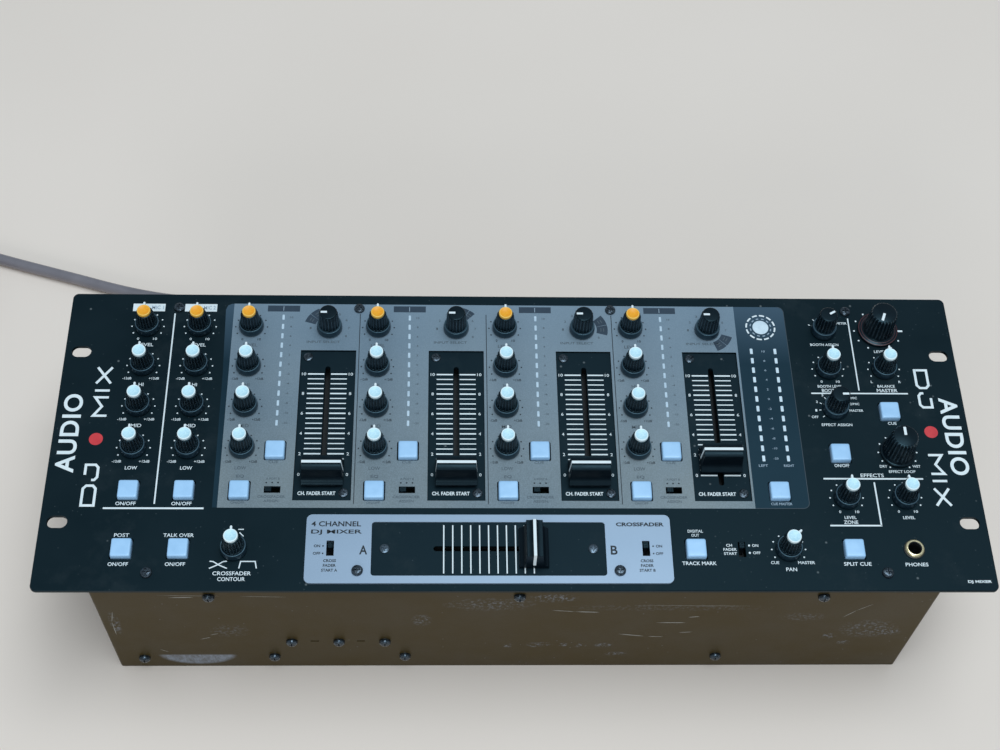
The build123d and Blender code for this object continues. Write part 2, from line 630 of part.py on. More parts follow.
def corner_radii(points):
    """An arc for each corner: 0.45 of the shorter run, over the tangent of half the turn."""
    radii = []
    for before, here, after in zip(points, points[1:], points[2:]):
        first = Vector(*here) - Vector(*before)
        second = Vector(*after) - Vector(*here)
        turn = first.get_angle(second)
        radii.append(0.45 * min(first.length, second.length) / math.tan(math.radians(turn) / 2))
    return radii


def cord_tube(points):
    radii = corner_radii(points)
    path = FilletPolyline(*points, radius=radii)
    start = Plane(origin=path @ 0, z_dir=path % 0)
    tube = sweep(start * Circle(CORD_DIAMETER / 2), path=path)
    section = math.pi * CORD_DIAMETER**2 / 4
    print("cord run", round(path.length, 1), "radii", [round(radius) for radius in radii])
    print("cord volume over section times length", round(tube.volume / (section * path.length), 4))
    return tube


def power_cord():
    return as_group([cord_tube(LEAD_POINTS), cord_tube(TAIL_POINTS)])


def power_cord_coil():
    inner = COIL_TURN_RADII[0] - CORD_DIAMETER / 2 - 0.2
    outer = COIL_TURN_RADII[-1] + CORD_DIAMETER / 2 + 0.2
    ring = turned([(inner, 0), (outer, 0), (outer, COIL_HEIGHT), (inner, COIL_HEIGHT)], *COIL_CENTRE)
    return fillet(ring.edges().filter_by(GeomType.CIRCLE), 2.5)


def cord_bush():
    """The tapered strain relief, snapped into the rear wall."""
    x, z = CORD_EXIT_XZ
    profile = [
        (0, REAR_Y - 9), (7.0, REAR_Y - 9), (7.0, REAR_Y), (8.6, REAR_Y), (8.6, REAR_Y + 2.4),
        (6.6, REAR_Y + 3.2), (5.0, BUSH_END_Y), (0, BUSH_END_Y),
    ]
    face = make_face(Polyline(*[(x + radius, y, z) for radius, y in profile], close=True))
    return revolve(face, Axis((x, 0, z), (0, 1, 0)))


def mains_plug():
    """A moulded two-blade plug lying on its side, its neck turned towards the lead."""
    x, y, z = PLUG_ENTRY

    def across(back):
        """The plane square to the plug, that far behind its neck's tip."""
        return Plane((x, y - back, z), x_dir=(1, 0, 0), z_dir=(0, -1, 0))

    neck = loft([across(0) * Circle(4.6), across(14) * Circle(6.8)])
    grip = loft([across(14) * RectangleRounded(16, 14, 4), across(24) * RectangleRounded(25, 17.6, 5)])
    head = extrude(across(24) * RectangleRounded(25, 17.6, 5), 20)
    blades = []
    for side in (-1, 1):
        blade = Pos(x + side * 6.35, y - 44 - 8.2, z) * Box(1.5, 16.4, 6.35)
        blades.append(blade)
    return as_group([neck + grip + head] + blades)


# ---------------------------------------------------------------- writing the nodes
def save(name, shape):
    export_step(shape, f"parts/{name}.step")


def main():
    os.makedirs("parts", exist_ok=True)
    save("front_panel", front_panel())
    save("fader_plates", fader_plates())
    save("crossfader_plate", crossfader_plate())
    save("case_wrap", case_wrap())
    save("chassis_tray", chassis_tray())
    save("internal_electronics", internal_electronics())
    save("audio_sockets", audio_sockets())
    save("screws", screws())
    save("cord_bush", cord_bush())
    save("power_cord", power_cord())
    save("power_cord_coil", power_cord_coil())
    save("mains_plug", mains_plug())
    save("power_switch", power_switch())
    for place in knob_places():
        save(place[0], knob(*place))
    cap = fader_cap()
    for number, (x, y) in enumerate(fader_places(), 1):
        save(f"channel_{number}_fader", Pos(x, y, HEIGHT) * cap)
    save("crossfader", Pos(CROSS_RIGHT_X, CROSS_Y, HEIGHT) * Rot(0, 0, 90) * cap)
    save("channel_buttons", as_group([button(x, y) for x, y in channel_button_places()]))
    save("master_buttons", as_group([button(x, y) for x, y in master_button_places()]))
    assign = [switch_nub(x - NUB_REST, y, NUB_LONG, NUB_SHORT) for x, y in assign_switch_places()]
    save("crossfader_assign_switches", as_group(assign))
    start = [switch_nub(x, y + NUB_REST, NUB_SHORT, NUB_LONG) for x, y in start_switch_places()]
    save("start_switches", as_group(start))


main()
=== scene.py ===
import functools
import math

import bmesh
import bpy
from mathutils import Matrix, Vector


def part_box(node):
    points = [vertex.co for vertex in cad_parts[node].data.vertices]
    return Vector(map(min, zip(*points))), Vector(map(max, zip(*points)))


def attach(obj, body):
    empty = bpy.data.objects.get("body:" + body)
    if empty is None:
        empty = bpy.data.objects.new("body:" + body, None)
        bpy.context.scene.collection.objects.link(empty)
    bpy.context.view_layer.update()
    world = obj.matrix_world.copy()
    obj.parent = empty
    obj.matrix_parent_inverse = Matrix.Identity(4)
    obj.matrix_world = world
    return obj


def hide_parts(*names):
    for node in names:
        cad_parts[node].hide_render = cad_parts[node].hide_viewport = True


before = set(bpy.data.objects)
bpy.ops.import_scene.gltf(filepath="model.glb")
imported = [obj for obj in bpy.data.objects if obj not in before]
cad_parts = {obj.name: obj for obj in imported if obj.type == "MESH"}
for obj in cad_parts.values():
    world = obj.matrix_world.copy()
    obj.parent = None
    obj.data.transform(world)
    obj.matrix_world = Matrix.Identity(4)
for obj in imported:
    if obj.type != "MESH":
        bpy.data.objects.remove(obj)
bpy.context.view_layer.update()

# A four-channel DJ mixer. Blender works in metres; sizes and places here are in millimetres,
# in the CAD frame, and each piece is scaled by MM when it is made.
MM = 0.001
BODY = "mixer"
FRONT_WALL = -85.0
REAR_WALL = 85.0
CASE_INSIDE = (212.0, 81.5)
INSET_MIDDLE = (-15.05, -65.9)
PANEL_TOP = 109.0
PLATE_TOP = 108.1
INSET_TOP = 109.6
SURROUND_TOP = 110.2
NAVY_TOP = PANEL_TOP + 0.05
SILVER_TOP = PANEL_TOP + 0.10
PRINT_RISE = 0.05
PRINT_SINK = 0.02

ROWS = (67.2, 42.1, 17.0, -8.1)
BUTTON_ROW = -33.0
BOTTOM_ROW = -65.8
SILVER_X = (-153.1, 122.3)
GROUND_Y = (-42.6, 82.4)
FRONT_WEAR = [  # worn areas of the front wall: centre and half size as (x, z), and strength
    ((-14, 84), (26, 9), 0.5), ((18, 92), (14, 6), 0.8), ((14, 30), (8, 4), 0.6), ((-3, 29), (3, 3), 0.9),
    ((11, 29.5), (3.5, 3), 1.0), ((27, 30), (3, 2.5), 0.9), ((36, 29), (4, 3), 1.0), ((49, 29.5), (6, 3), 0.8),
    ((57, 17), (7, 3), 0.9), ((188, 52), (17, 13), 0.55), ((199, 48), (9, 6), 0.8), ((169, 42), (5, 4), 0.7),
    ((179, 33), (4, 3), 0.8), ((-49, 64), (6, 8), 0.6), ((-208, 60), (3, 16), 0.7), ((150, 68), (14, 6), 0.35),
    ((-150, 50), (12, 10), 0.3), ((80, 80), (60, 5), 0.25),
]
METERS = [-125.8 + 68.9 * channel for channel in range(4)]
EQ_OFFSET = -17.0
CUE_OFFSET = -16.8
CHANNEL_ON_OFFSET = 0.2
CHANNEL_ON_Y = -9.6
FADER_OFFSET = 25.4
SELECTOR_OFFSET = 25.4
SELECTOR_Y = 66.7
FADER_PLATE_Y = 6.95
MIC_X = (-198.8, -170.6)
RIGHT_X = (170.4, 201.0)
BOOTH_ASSIGN_X = 170.9
EFFECT_ASSIGN_X = 171.3
NAVY_METERS = (129.6, 142.6)
METER_STEP = 6.05
MASTER_CUE_X = 135.8
PHONES = (201.2, -65.8)
SHAFT_HOLE = 3.8
BUTTON_HOLE = 5.7
FADER_PLATE_HALF = (14.9, 45.45)


# ------------------------------------------------------------------------------------ camera
camera_data = bpy.data.cameras.new("camera")
camera_data.sensor_width = 36.0
camera_data.lens = 57.13
camera_data.clip_start = 0.01
camera_data.clip_end = 30.0
camera = bpy.data.objects.new("camera", camera_data)
camera.location = (-0.04013, -0.41008, 0.83491)
camera.rotation_euler = [math.radians(angle) for angle in (31.655, -1.9885, -0.8894)]
bpy.context.scene.collection.objects.link(camera)
bpy.context.scene.camera = camera


# --------------------------------------------------------------------------------- mains lead
CORD_DIAMETER = 7.0
LEAD_POINTS = [
    (-120.0, 107.5, 20.0), (-120.0, 120.0, 20.0), (-124.3, 131.7, 19.6), (-132.3, 141.3, 18.0),
    (-142.9, 147.9, 15.0), (-156.0, 151.5, 11.2), (-173.0, 153.3, 7.4), (-191.0, 154.4, 4.8),
    (-209.5, 156.4, 3.7), (-229.8, 160.3, 3.6), (-248.5, 165.2, 3.6), (-268.0, 171.3, 3.6),
    (-311.0, 183.9, 3.6), (-339.5, 193.2, 3.6), (-362.0, 201.5, 3.6),
]
TAIL_POINTS = [
    (-428.6, 138.8, 3.6), (-420.8, 116.0, 3.6), (-415.2, 93.0, 5.0), (-412.5, 69.6, 9.0), (-412.5, 46.9, 9.0),
]
COIL_CENTRE = (-377.9, 157.3)
COIL_START = 70.2  # degrees round the coil where the lead reaches it
COIL_SWEEP = 1930.0  # degrees the coil is wound through
COIL_STEPS = 76
COIL_STEP = COIL_SWEEP / COIL_STEPS
LOW_TURN = 3.6
HIGH_TURN = 10.6
COIL_RADII = [
    (0, 47), (300, 47), (360, 40), (660, 40), (720, 33), (1260, 33), (1320, 40), (1560, 40), (1620, 47),
    (1805, 47), (1850, 54), (1930, 54),
]
COIL_HEIGHTS = [
    (0, LOW_TURN), (960, LOW_TURN), (1020, HIGH_TURN), (1850, HIGH_TURN), (1895, LOW_TURN), (1930, LOW_TURN),
]


def between(table, at):
    """The value at a place in a table of (place, value), on straight lines between its rows."""
    for (a, low), (b, high) in zip(table, table[1:]):
        if at <= b:
            return low + (high - low) * (at - a) / (b - a)
    return table[-1][1]


def coil_points():
    """Control points of the wound length. A quadratic spline runs inside them, so they stand a little outside."""
    outside = 1.0 / (0.75 + 0.25 * math.cos(math.radians(COIL_STEP)))
    points = []
    for step in range(1, COIL_STEPS):
        wound = COIL_STEP * step
        angle = math.radians(COIL_START + wound)
        radius = between(COIL_RADII, wound) * outside
        x = COIL_CENTRE[0] + radius * math.cos(angle)
        y = COIL_CENTRE[1] + radius * math.sin(angle)
        points.append((x, y, between(COIL_HEIGHTS, wound)))
    return points


def link(piece):
    bpy.context.scene.collection.objects.link(piece)
    return piece


def make_cord():
    points = LEAD_POINTS + coil_points() + TAIL_POINTS
    curve = bpy.data.curves.new("mains_lead", "CURVE")
    curve.dimensions = "3D"
    curve.bevel_depth = CORD_DIAMETER / 2 * MM
    curve.bevel_resolution = 5
    curve.resolution_u = 6
    curve.use_fill_caps = True
    spline = curve.splines.new("NURBS")
    spline.points.add(len(points) - 1)
    for target, (x, y, z) in zip(spline.points, points):
        target.co = (x * MM, y * MM, z * MM, 1.0)
    spline.order_u = 3
    spline.use_endpoint_u = True
    spline.use_smooth = True
    return link(bpy.data.objects.new("mains_lead", curve))


mains_lead = make_cord()


# ----------------------------------------------------------------------------------- surfaces
GRAIN_DEPTH = 0.0001
COAT_ROUGHNESS = 0.25


class Graph:
    """The nodes of one material; where is a place on the piece, in metres."""

    def __init__(self, name):
        self.material = bpy.data.materials.new(name)
        self.material.use_nodes = True
        self.tree = self.material.node_tree
        self.tree.nodes.clear()
        output = self.node("ShaderNodeOutputMaterial")
        self.shader = self.node("ShaderNodeBsdfPrincipled")
        self.feed(output.inputs["Surface"], self.shader.outputs["BSDF"])
        self.where = self.node("ShaderNodeTexCoord").outputs["Object"]

    def feed(self, socket, value):
        """Links another node's output to a socket, or sets the socket to a number or a colour."""
        if isinstance(value, bpy.types.NodeSocket):
            self.tree.links.new(value, socket)
        else:
            socket.default_value = value

    def node(self, kind, **inputs):
        """Adds a node. Its inputs are named with _ for a space."""
        node = self.tree.nodes.new(kind)
        for name, value in inputs.items():
            self.feed(node.inputs[name.replace("_", " ")], value)
        return node

    def noise(self, scale, detail=3.0, roughness=0.55, stretch=(1, 1, 1)):
        mapping = self.node("ShaderNodeMapping", Scale=stretch, Vector=self.where)
        noise = self.node("ShaderNodeTexNoise", Scale=scale, Detail=detail, Roughness=roughness,
                          Vector=mapping.outputs["Vector"])
        return noise.outputs["Fac"]

    def ranged(self, value, low, high, to_low=0.0, to_high=1.0):
        remap = self.node("ShaderNodeMapRange", Value=value, From_Min=low, From_Max=high, To_Min=to_low, To_Max=to_high)
        return remap.outputs["Result"]

    def mixed(self, share, first, second):
        """A colour mix; first and second are colours or sockets."""
        mix = self.node("ShaderNodeMix")
        mix.data_type = "RGBA"
        self.feed(mix.inputs["Factor"], share)
        for name, value in (("A", first), ("B", second)):
            socket = [s for s in mix.inputs if s.name == name and s.type == "RGBA"][0]
            self.feed(socket, (*value, 1.0) if isinstance(value, tuple) else value)
        return [s for s in mix.outputs if s.type == "RGBA"][0]

    def math(self, operation, *values):
        node = self.node("ShaderNodeMath")
        node.operation = operation
        for socket, value in zip(node.inputs, values):
            self.feed(socket, value)
        return node.outputs["Value"]

    def times(self, product, *factors):
        for factor in factors:
            product = self.math("MULTIPLY", product, factor)
        return product

    def less(self, value, edge):
        return self.math("LESS_THAN", value, edge)

    def away(self, value, middle=0.0):
        """How far a value is from a middle."""
        return self.math("ABSOLUTE", self.math("ADD", value, -middle))

    def axes(self):
        split = self.node("ShaderNodeSeparateXYZ", Vector=self.where)
        return [split.outputs[axis] for axis in "XYZ"]

    def specks(self, scale, share, size):
        """1 in small round specks, few of the cells that a Voronoi texture makes."""
        cells = self.node("ShaderNodeTexVoronoi", Scale=scale, Vector=self.where)
        split = self.node("ShaderNodeSeparateColor", Color=cells.outputs["Color"])
        chosen = self.less(split.outputs["Red"], share)
        return self.times(chosen, self.ranged(cells.outputs["Distance"], size, size * 0.4))

    def inside_ellipse(self, axes, centre, size, soft):
        """1 inside an ellipse given in millimetres on two axes, fading out over its rim."""
        terms = []
        for socket, middle, half in zip(axes, centre, size):
            away = self.math("MULTIPLY_ADD", socket, 1 / (half * MM), -middle / half)
            terms.append(self.times(away, away))
        return self.ranged(self.math("ADD", *terms), 1.0, 1.0 - soft)


def surface(name, dark, light, rough=(0.4, 0.5), scale=200, grain=1500, bump=0.05, metallic=0.0,
            coat=0.0, specular=0.5, stretch=(1, 1, 1), extra=None, gloss_tint=(1, 1, 1)):
    """A procedural finish: two tones that drift over the surface, a fine grain in its bump and gloss,
    and whatever extra(graph, colour, roughness) lays on top."""
    graph = Graph(name)
    drift = graph.ranged(graph.noise(scale, stretch=stretch), 0.3, 0.7)
    fine = graph.noise(grain, detail=2.0, stretch=stretch)
    colour = graph.mixed(drift, dark, light)
    gloss = graph.math("MULTIPLY_ADD", fine, 0.35, graph.times(drift, 0.65))
    roughness = graph.ranged(gloss, 0.1, 0.9, *rough)
    if extra:
        colour, roughness = extra(graph, colour, roughness)
    raised = graph.node("ShaderNodeBump", Strength=bump, Distance=GRAIN_DEPTH, Height=fine)
    for socket, value in (
        ("Base Color", colour), ("Roughness", roughness), ("Normal", raised.outputs["Normal"]), ("Metallic", metallic),
        ("Specular IOR Level", specular), ("Specular Tint", (*gloss_tint, 1.0)), ("Coat Weight", coat),
        ("Coat Roughness", COAT_ROUGHNESS),
    ):
        graph.feed(graph.shader.inputs[socket], value)
    return graph.material


def panel_dust(graph, colour, roughness):
    """Handling marks and dust on black paint."""
    smudge = graph.ranged(graph.noise(22.0, detail=6.0, roughness=0.7), 0.56, 0.8, 0.0, 0.55)
    colour = graph.mixed(smudge, colour, (0.026, 0.033, 0.036))
    colour = graph.mixed(graph.times(graph.specks(160.0, 0.1, 0.13), 0.45), colour, (0.25, 0.27, 0.27))
    colour = graph.mixed(graph.times(graph.specks(430.0, 0.14, 0.17), 0.22), colour, (0.16, 0.19, 0.2))
    return colour, graph.math("MULTIPLY_ADD", smudge, 0.25, roughness)


def case_wear(graph, colour, roughness):
    """Rubs and scratches on the front wall: a scuffed half moon low on the left, and worn spots.
    Inside, under the panel's slots, the sheet is painted near black as painted shade."""
    x, y, z = graph.axes()
    moon = graph.inside_ellipse((x, z), (-171.0, 17.0), (21.5, 14.5), 0.3)
    below = graph.ranged(z, 0.0172, 0.0155)
    streaks = graph.ranged(graph.noise(700.0, detail=6.0, roughness=0.75, stretch=(1, 1, 0.4)), 0.38, 0.6, 0.4, 1.0)
    worn = graph.times(moon, below, streaks)
    fine = graph.ranged(graph.noise(520.0, detail=5.0, roughness=0.7), 0.5, 0.62)
    for centre, size, strength in FRONT_WEAR:
        area = graph.times(graph.inside_ellipse((x, z), centre, size, 0.95), fine, strength)
        worn = graph.math("MAXIMUM", worn, area)
    dust = graph.times(graph.specks(260.0, 0.16, 0.14), 0.4)
    worn = graph.times(graph.math("MAXIMUM", worn, dust), graph.less(y, (FRONT_WALL + 1) * MM))
    colour = graph.mixed(worn, colour, (0.24, 0.26, 0.3))
    # Painted shade: inside the case, above 60 mm, the sheet is painted near black.
    wide, deep = CASE_INSIDE
    shaded_inside = graph.times(graph.less(graph.away(y), deep * MM), graph.math("GREATER_THAN", z, 0.06),
                         graph.less(graph.away(x), wide * MM))
    return graph.mixed(shaded_inside, colour, (0.002, 0.002, 0.002)), graph.math("MULTIPLY_ADD", worn, 0.2, roughness)


def green_board(graph, colour, roughness):
    """The circuit board is green below the parts that stand on it; the parts are painted near black as painted shade
    inside the case.
    """
    above = graph.ranged(graph.axes()[2], 93.4 * MM, (93.4 + 0.3) * MM)
    return graph.mixed(above, (0.02, 0.11, 0.045), colour), roughness


def bare_blades(graph, colour, roughness):
    """The plug's two blades are bare metal."""
    bare = graph.less(graph.axes()[1], 0.00285)
    return graph.mixed(bare, colour, (0.5, 0.5, 0.5)), graph.math("MULTIPLY_ADD", bare, -0.15, roughness)


def lighter_inset_screws(graph, colour, roughness):
    """The two screws of the crossfader's plate are bare plated steel, duller than the black ones."""
    x, y, _ = graph.axes()
    away = graph.away(x, INSET_MIDDLE[0] * MM)
    share = graph.times(graph.less(away, 0.058), graph.math("GREATER_THAN", away, 0.046),
                        graph.less(graph.away(y, INSET_MIDDLE[1] * MM), 0.004))
    return graph.mixed(share, colour, (0.085, 0.112, 0.138)), roughness


def paler_rearward(graph, colour, roughness):
    """Painted reflection: the panel's dark blue is paler along its rear edge."""
    share = graph.ranged(graph.axes()[1], 0.045, 0.083, 0.0, 0.55)
    return graph.mixed(share, colour, (0.09, 0.14, 0.195)), roughness


def flaked(graph, colour, roughness):
    """The pale flecks of a metallic paint, and a painted reflection that turns it bluer towards the rear edge."""
    flake = graph.ranged(graph.noise(2600.0, detail=1.0), 0.42, 0.62, 0.0, 0.3)
    colour = graph.mixed(flake, colour, (0.32, 0.38, 0.43))
    # Painted reflection: bluer towards the rear edge.
    share = graph.ranged(graph.axes()[1], -0.03, 0.083, 0.0, 0.6)
    return graph.mixed(share, colour, (0.215, 0.3, 0.385)), roughness


COOL = (0.5, 0.85, 1.0)
WARM = (1.0, 0.75, 0.4)



def plastic(name, dark, light, rough, specular, scale=160, bump=0.03):
    """The moulded plastic of the black controls."""
    return surface(name, dark, light, rough, scale, 1800, bump, specular=specular, gloss_tint=COOL)


PAINT = {
    "panel": surface("panel_black", (0.0016, 0.0062, 0.0092), (0.0034, 0.0088, 0.0122), (0.4, 0.54), 26, 1500, 0.12,
                     specular=0.2, extra=panel_dust, gloss_tint=COOL),
    "plate": surface("plate_black", (0.0018, 0.0066, 0.0104), (0.0036, 0.0092, 0.0136), (0.42, 0.56), 60, 1700, 0.12,
                     specular=0.22, extra=panel_dust, gloss_tint=COOL),
    "silver": surface("silver_paint", (0.118, 0.16, 0.188), (0.2, 0.226, 0.226), (0.4, 0.52), 9, 1900, 0.05, 0.3,
                      extra=flaked),
    "navy": surface("navy_paint", (0.005, 0.018, 0.03), (0.008, 0.0235, 0.037), (0.36, 0.46), 18, 1600, 0.06,
                    specular=0.3, gloss_tint=COOL, extra=paler_rearward),
    "navy_edge": surface("navy_outline", (0.022, 0.038, 0.052), (0.03, 0.05, 0.066), (0.4, 0.5), 80, 1500, 0.04),
    "surround": surface("silver_plate", (0.28, 0.36, 0.46), (0.34, 0.42, 0.52), (0.34, 0.46), 14, 2200, 0.05, 0.4,
                        stretch=(0.3, 1, 1)),
    # Painted reflection: the case paint's brown tint stands in for warm light bounced up onto the dark case.
    "case": surface("case_paint", (0.036, 0.0235, 0.0045), (0.047, 0.0305, 0.007), (0.36, 0.5), 30, 1300, 0.25,
                    specular=0.2, extra=case_wear, gloss_tint=WARM),
    "scratch": surface("bare_scratch", (0.2, 0.19, 0.17), (0.34, 0.33, 0.3), (0.35, 0.5), 500),
    "white": surface("white_print", (0.74, 0.79, 0.8), (0.84, 0.87, 0.87), (0.45, 0.55)),
    "dark": surface("dark_print", (0.014, 0.019, 0.024), (0.022, 0.028, 0.034), (0.45, 0.55), specular=0.3),
    "faint": surface("faint_print", (0.066, 0.09, 0.108), (0.084, 0.11, 0.128), (0.45, 0.55)),
    "bars": surface("label_bars", (0.026, 0.044, 0.066), (0.034, 0.055, 0.08), (0.4, 0.5), 120, specular=0.3),
    "pale": surface("pale_print", (0.3, 0.38, 0.45), (0.36, 0.44, 0.52)),
    "red": surface("red_print", (0.6, 0.025, 0.035), (0.72, 0.045, 0.05)),
    "lens": surface("meter_lens", (0.46, 0.57, 0.66), (0.58, 0.69, 0.77), (0.22, 0.32), 260, 1200, coat=0.3),
    "lens_bright": surface("meter_lens_bright", (0.58, 0.68, 0.75), (0.72, 0.82, 0.88), (0.22, 0.32), 260, 1200,
                           coat=0.3),
    "knob": plastic("knob_black", (0.0015, 0.0036, 0.006), (0.003, 0.006, 0.0092), (0.22, 0.34), 0.4),
    # Painted glint: a lighter paint on the ribs' crests stands in for the glints of light along them.
    "crest": plastic("knob_crest_glint", (0.016, 0.028, 0.039), (0.026, 0.043, 0.057), (0.16, 0.28), 0.9),
    # Painted light: the same plastic as the knob, made lighter on the skirt, which catches more light.
    "skirt": plastic("knob_skirt", (0.006, 0.015, 0.024), (0.0105, 0.0225, 0.034), (0.26, 0.38), 0.7, bump=0.04),
    # Painted highlight: the knob plastic, much lighter on the narrow shoulder at the top of the skirt.
    "shoulder": plastic("knob_shoulder_highlight", (0.036, 0.062, 0.084), (0.052, 0.086, 0.11), (0.24, 0.36), 0.7, bump=0.04),
    "fader": plastic("fader_cap_black", (0.0015, 0.0036, 0.0062), (0.003, 0.0058, 0.0092), (0.3, 0.42), 0.25, 120,
                     0.08),
    "cap_white": surface("cap_white", (0.5, 0.76, 0.87), (0.68, 0.91, 0.96), (0.36, 0.48), 1100, 1900, 0.1),
    "cap_orange": surface("cap_orange", (0.98, 0.33, 0.008), (1.0, 0.46, 0.02), (0.36, 0.48), 1100, 1900, 0.1),
    # Painted highlight: the caps' rims are painted lighter than their tops.
    "lit_rim_white": surface("cap_rim_white_highlight", (0.8, 0.92, 0.94), (0.88, 0.97, 0.98), (0.3, 0.4), 300, 1900, 0.06),
    "lit_rim_orange": surface("cap_rim_orange_highlight", (1.0, 0.5, 0.06), (1.0, 0.6, 0.12), (0.3, 0.4), 300, 1900, 0.06),
    "button": surface("button_white", (0.365, 0.59, 0.84), (0.43, 0.665, 0.92), (0.3, 0.42), 120, 1700, 0.06, coat=0.2),
    "screw": surface("screw_black", (0.016, 0.023, 0.03), (0.11, 0.135, 0.16), (0.14, 0.3), 950, 1900, 0.5, 0.85,
                     extra=lighter_inset_screws),
    "rubber": surface("cord_rubber", (0.17, 0.15, 0.165), (0.215, 0.19, 0.205), (0.3, 0.44), 60, 1100, 0.25, coat=0.4),
    "plug": surface("plug_rubber", (0.17, 0.15, 0.165), (0.215, 0.19, 0.205), (0.34, 0.48), 60, 1100, 0.25, coat=0.15,
                    extra=bare_blades),
    "steel": surface("plated_steel", (0.42, 0.42, 0.42), (0.56, 0.56, 0.55), (0.22, 0.36), 300, 1700, 0.08, 1.0),
    "gold": surface("gold_plate", (0.72, 0.5, 0.2), (0.88, 0.66, 0.32), (0.2, 0.34), 300, 1700, 0.08, 1.0),
    "brass": surface("brass_ring", (0.82, 0.66, 0.38), (0.94, 0.8, 0.52), (0.2, 0.32), 400, 1500, 0.08, 0.85),
    "socket": surface("socket_black", (0.012, 0.012, 0.013), (0.02, 0.02, 0.022), (0.35, 0.5), 200, 1700, 0.12),
    "socket_white": surface("socket_white", (0.62, 0.62, 0.6), (0.72, 0.72, 0.7), (0.35, 0.5), 300, 1500, 0.08),
    "socket_red": surface("socket_red", (0.45, 0.02, 0.02), (0.55, 0.03, 0.03), (0.35, 0.5), 300, 1500, 0.08),
    # Painted shade: the electronics inside the case are painted near black.
    "board": surface("circuit_board", (0.0025, 0.003, 0.0035), (0.005, 0.0055, 0.006), (0.4, 0.55), 200, 1500, 0.1,
                     extra=green_board),
    "ring_red": surface("skirt_ring", (0.05, 0.009, 0.013), (0.08, 0.016, 0.02), (0.3, 0.4), 300),
    "floor": surface("floor_pale", (0.87, 0.72, 0.62), (0.9, 0.75, 0.65), (0.75, 0.85), 3, 900, 0.02, specular=0.25),
}


# ------------------------------------------------------------------------------- mesh building
CREST_SHARPNESS = 2.2
SEAM = 1e-7  # points closer than this, in metres, become one


class Shape:
    """Points in millimetres, and faces that each have the number of one of the piece's materials."""

    def __init__(self):
        self.points = []
        self.faces = []
        self.finishes = []

    def add(self, points, faces, finish=0, place=None):
        start = len(self.points)
        if place is not None:
            points = [tuple(place @ Vector(point)) for point in points]
        self.points.extend(points)
        self.faces.extend([tuple(start + corner for corner in face) for face in faces])
        self.finishes.extend([finish] * len(faces))

    def stack(self, loops, finish=0, place=None, closed=True):
        """Loops of equal length, joined in turn, with the ends closed or left open."""
        count = len(loops[0])
        faces = []
        for low in range(0, count * (len(loops) - 1), count):
            for k in range(count):
                n = (k + 1) % count
                faces.append((low + k, low + n, low + count + n, low + count + k))
        if closed:
            top = count * (len(loops) - 1)
            faces += [tuple(reversed(range(count))), tuple(range(top, top + count))]
        self.add([point for loop in loops for point in loop], faces, finish, place)

    def prism(self, outline, low, high, finish=0, place=None):
        """An outline of (x, y) points, counter-clockwise, raised from low to high."""
        self.stack([[(x, y, low) for x, y in outline], [(x, y, high) for x, y in outline]], finish, place)

    def turned(self, profile, segments=48, finish=0, place=None, ribs=0, rib_rise=0.0, crest_glint_finish=None):
        """A solid turned about Z from rows of (radius, height) or (radius, height, share of the rib).
        The faces on the ribs' crests can have a finish of their own, a lighter paint used as a painted glint."""
        loops = []
        for radius, height, *share in profile:
            loop = []
            for k in range(segments):
                turn = 2 * math.pi * k / segments
                crest = (0.5 + 0.5 * math.cos(ribs * turn)) ** CREST_SHARPNESS if ribs else 0.0
                reach = radius + (share[0] if share else 0.0) * rib_rise * (crest - 0.5)
                loop.append((reach * math.cos(turn), reach * math.sin(turn), height))
            loops.append(loop)
        start = len(self.faces)
        self.stack(loops, finish, place, closed=False)
        if crest_glint_finish is not None:
            for ring, (low, high) in enumerate(zip(profile, profile[1:])):
                for k in range(segments):
                    on_crest = k * ribs % segments == 0 or (k + 1) * ribs % segments == 0
                    if on_crest and len(low) > 2 and len(high) > 2:
                        self.finishes[start + ring * segments + k] = crest_glint_finish

    def refinished(self, finish, start, test):
        """Gives a finish to the faces, from number start on, whose middle passes test(radius, height)."""
        for number in range(start, len(self.faces)):
            corners = [self.points[corner] for corner in self.faces[number]]
            radius = sum(math.hypot(x, y) for x, y, _ in corners) / len(corners)
            height = sum(z for _, _, z in corners) / len(corners)
            if test(radius, height):
                self.finishes[number] = finish

    def piece(self, name, finishes, body=BODY, slot=None, smooth=40.0, bevel=0.0, steps=2, replaces=(), place=None):
        """Makes the Blender object, closes its seams and sets what it rides on."""
        mesh = bpy.data.meshes.new(name)
        mesh.from_pydata([(x * MM, y * MM, z * MM) for x, y, z in self.points], [], self.faces)
        for finish in finishes:
            mesh.materials.append(PAINT[finish])
        mesh.polygons.foreach_set("material_index", self.finishes)
        work = bmesh.new()
        work.from_mesh(mesh)
        bmesh.ops.remove_doubles(work, verts=work.verts, dist=SEAM)
        bmesh.ops.dissolve_degenerate(work, edges=work.edges, dist=SEAM / 10)
        bmesh.ops.recalc_face_normals(work, faces=work.faces)
        work.to_mesh(mesh)
        work.free()
        mesh.shade_smooth()
        mesh.set_sharp_from_angle(angle=math.radians(smooth))
        piece = link(bpy.data.objects.new(name, mesh))
        if place is not None:
            piece.matrix_world = place
        if bevel:
            rounding = piece.modifiers.new("rounding", "BEVEL")
            rounding.width = bevel * MM
            rounding.segments = steps
            rounding.limit_method = "ANGLE"
            rounding.angle_limit = math.radians(40)
            rounding.harden_normals = False
        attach(piece, body)
        if replaces:
            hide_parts(*replaces)
        return piece


def arc(x, y, radius, start, end, steps):
    """Points on an arc, counter-clockwise from start to end, in degrees from +X."""
    turns = [math.radians(start + (end - start) * k / steps) for k in range(steps + 1)]
    return [(x + radius * math.cos(turn), y + radius * math.sin(turn)) for turn in turns]


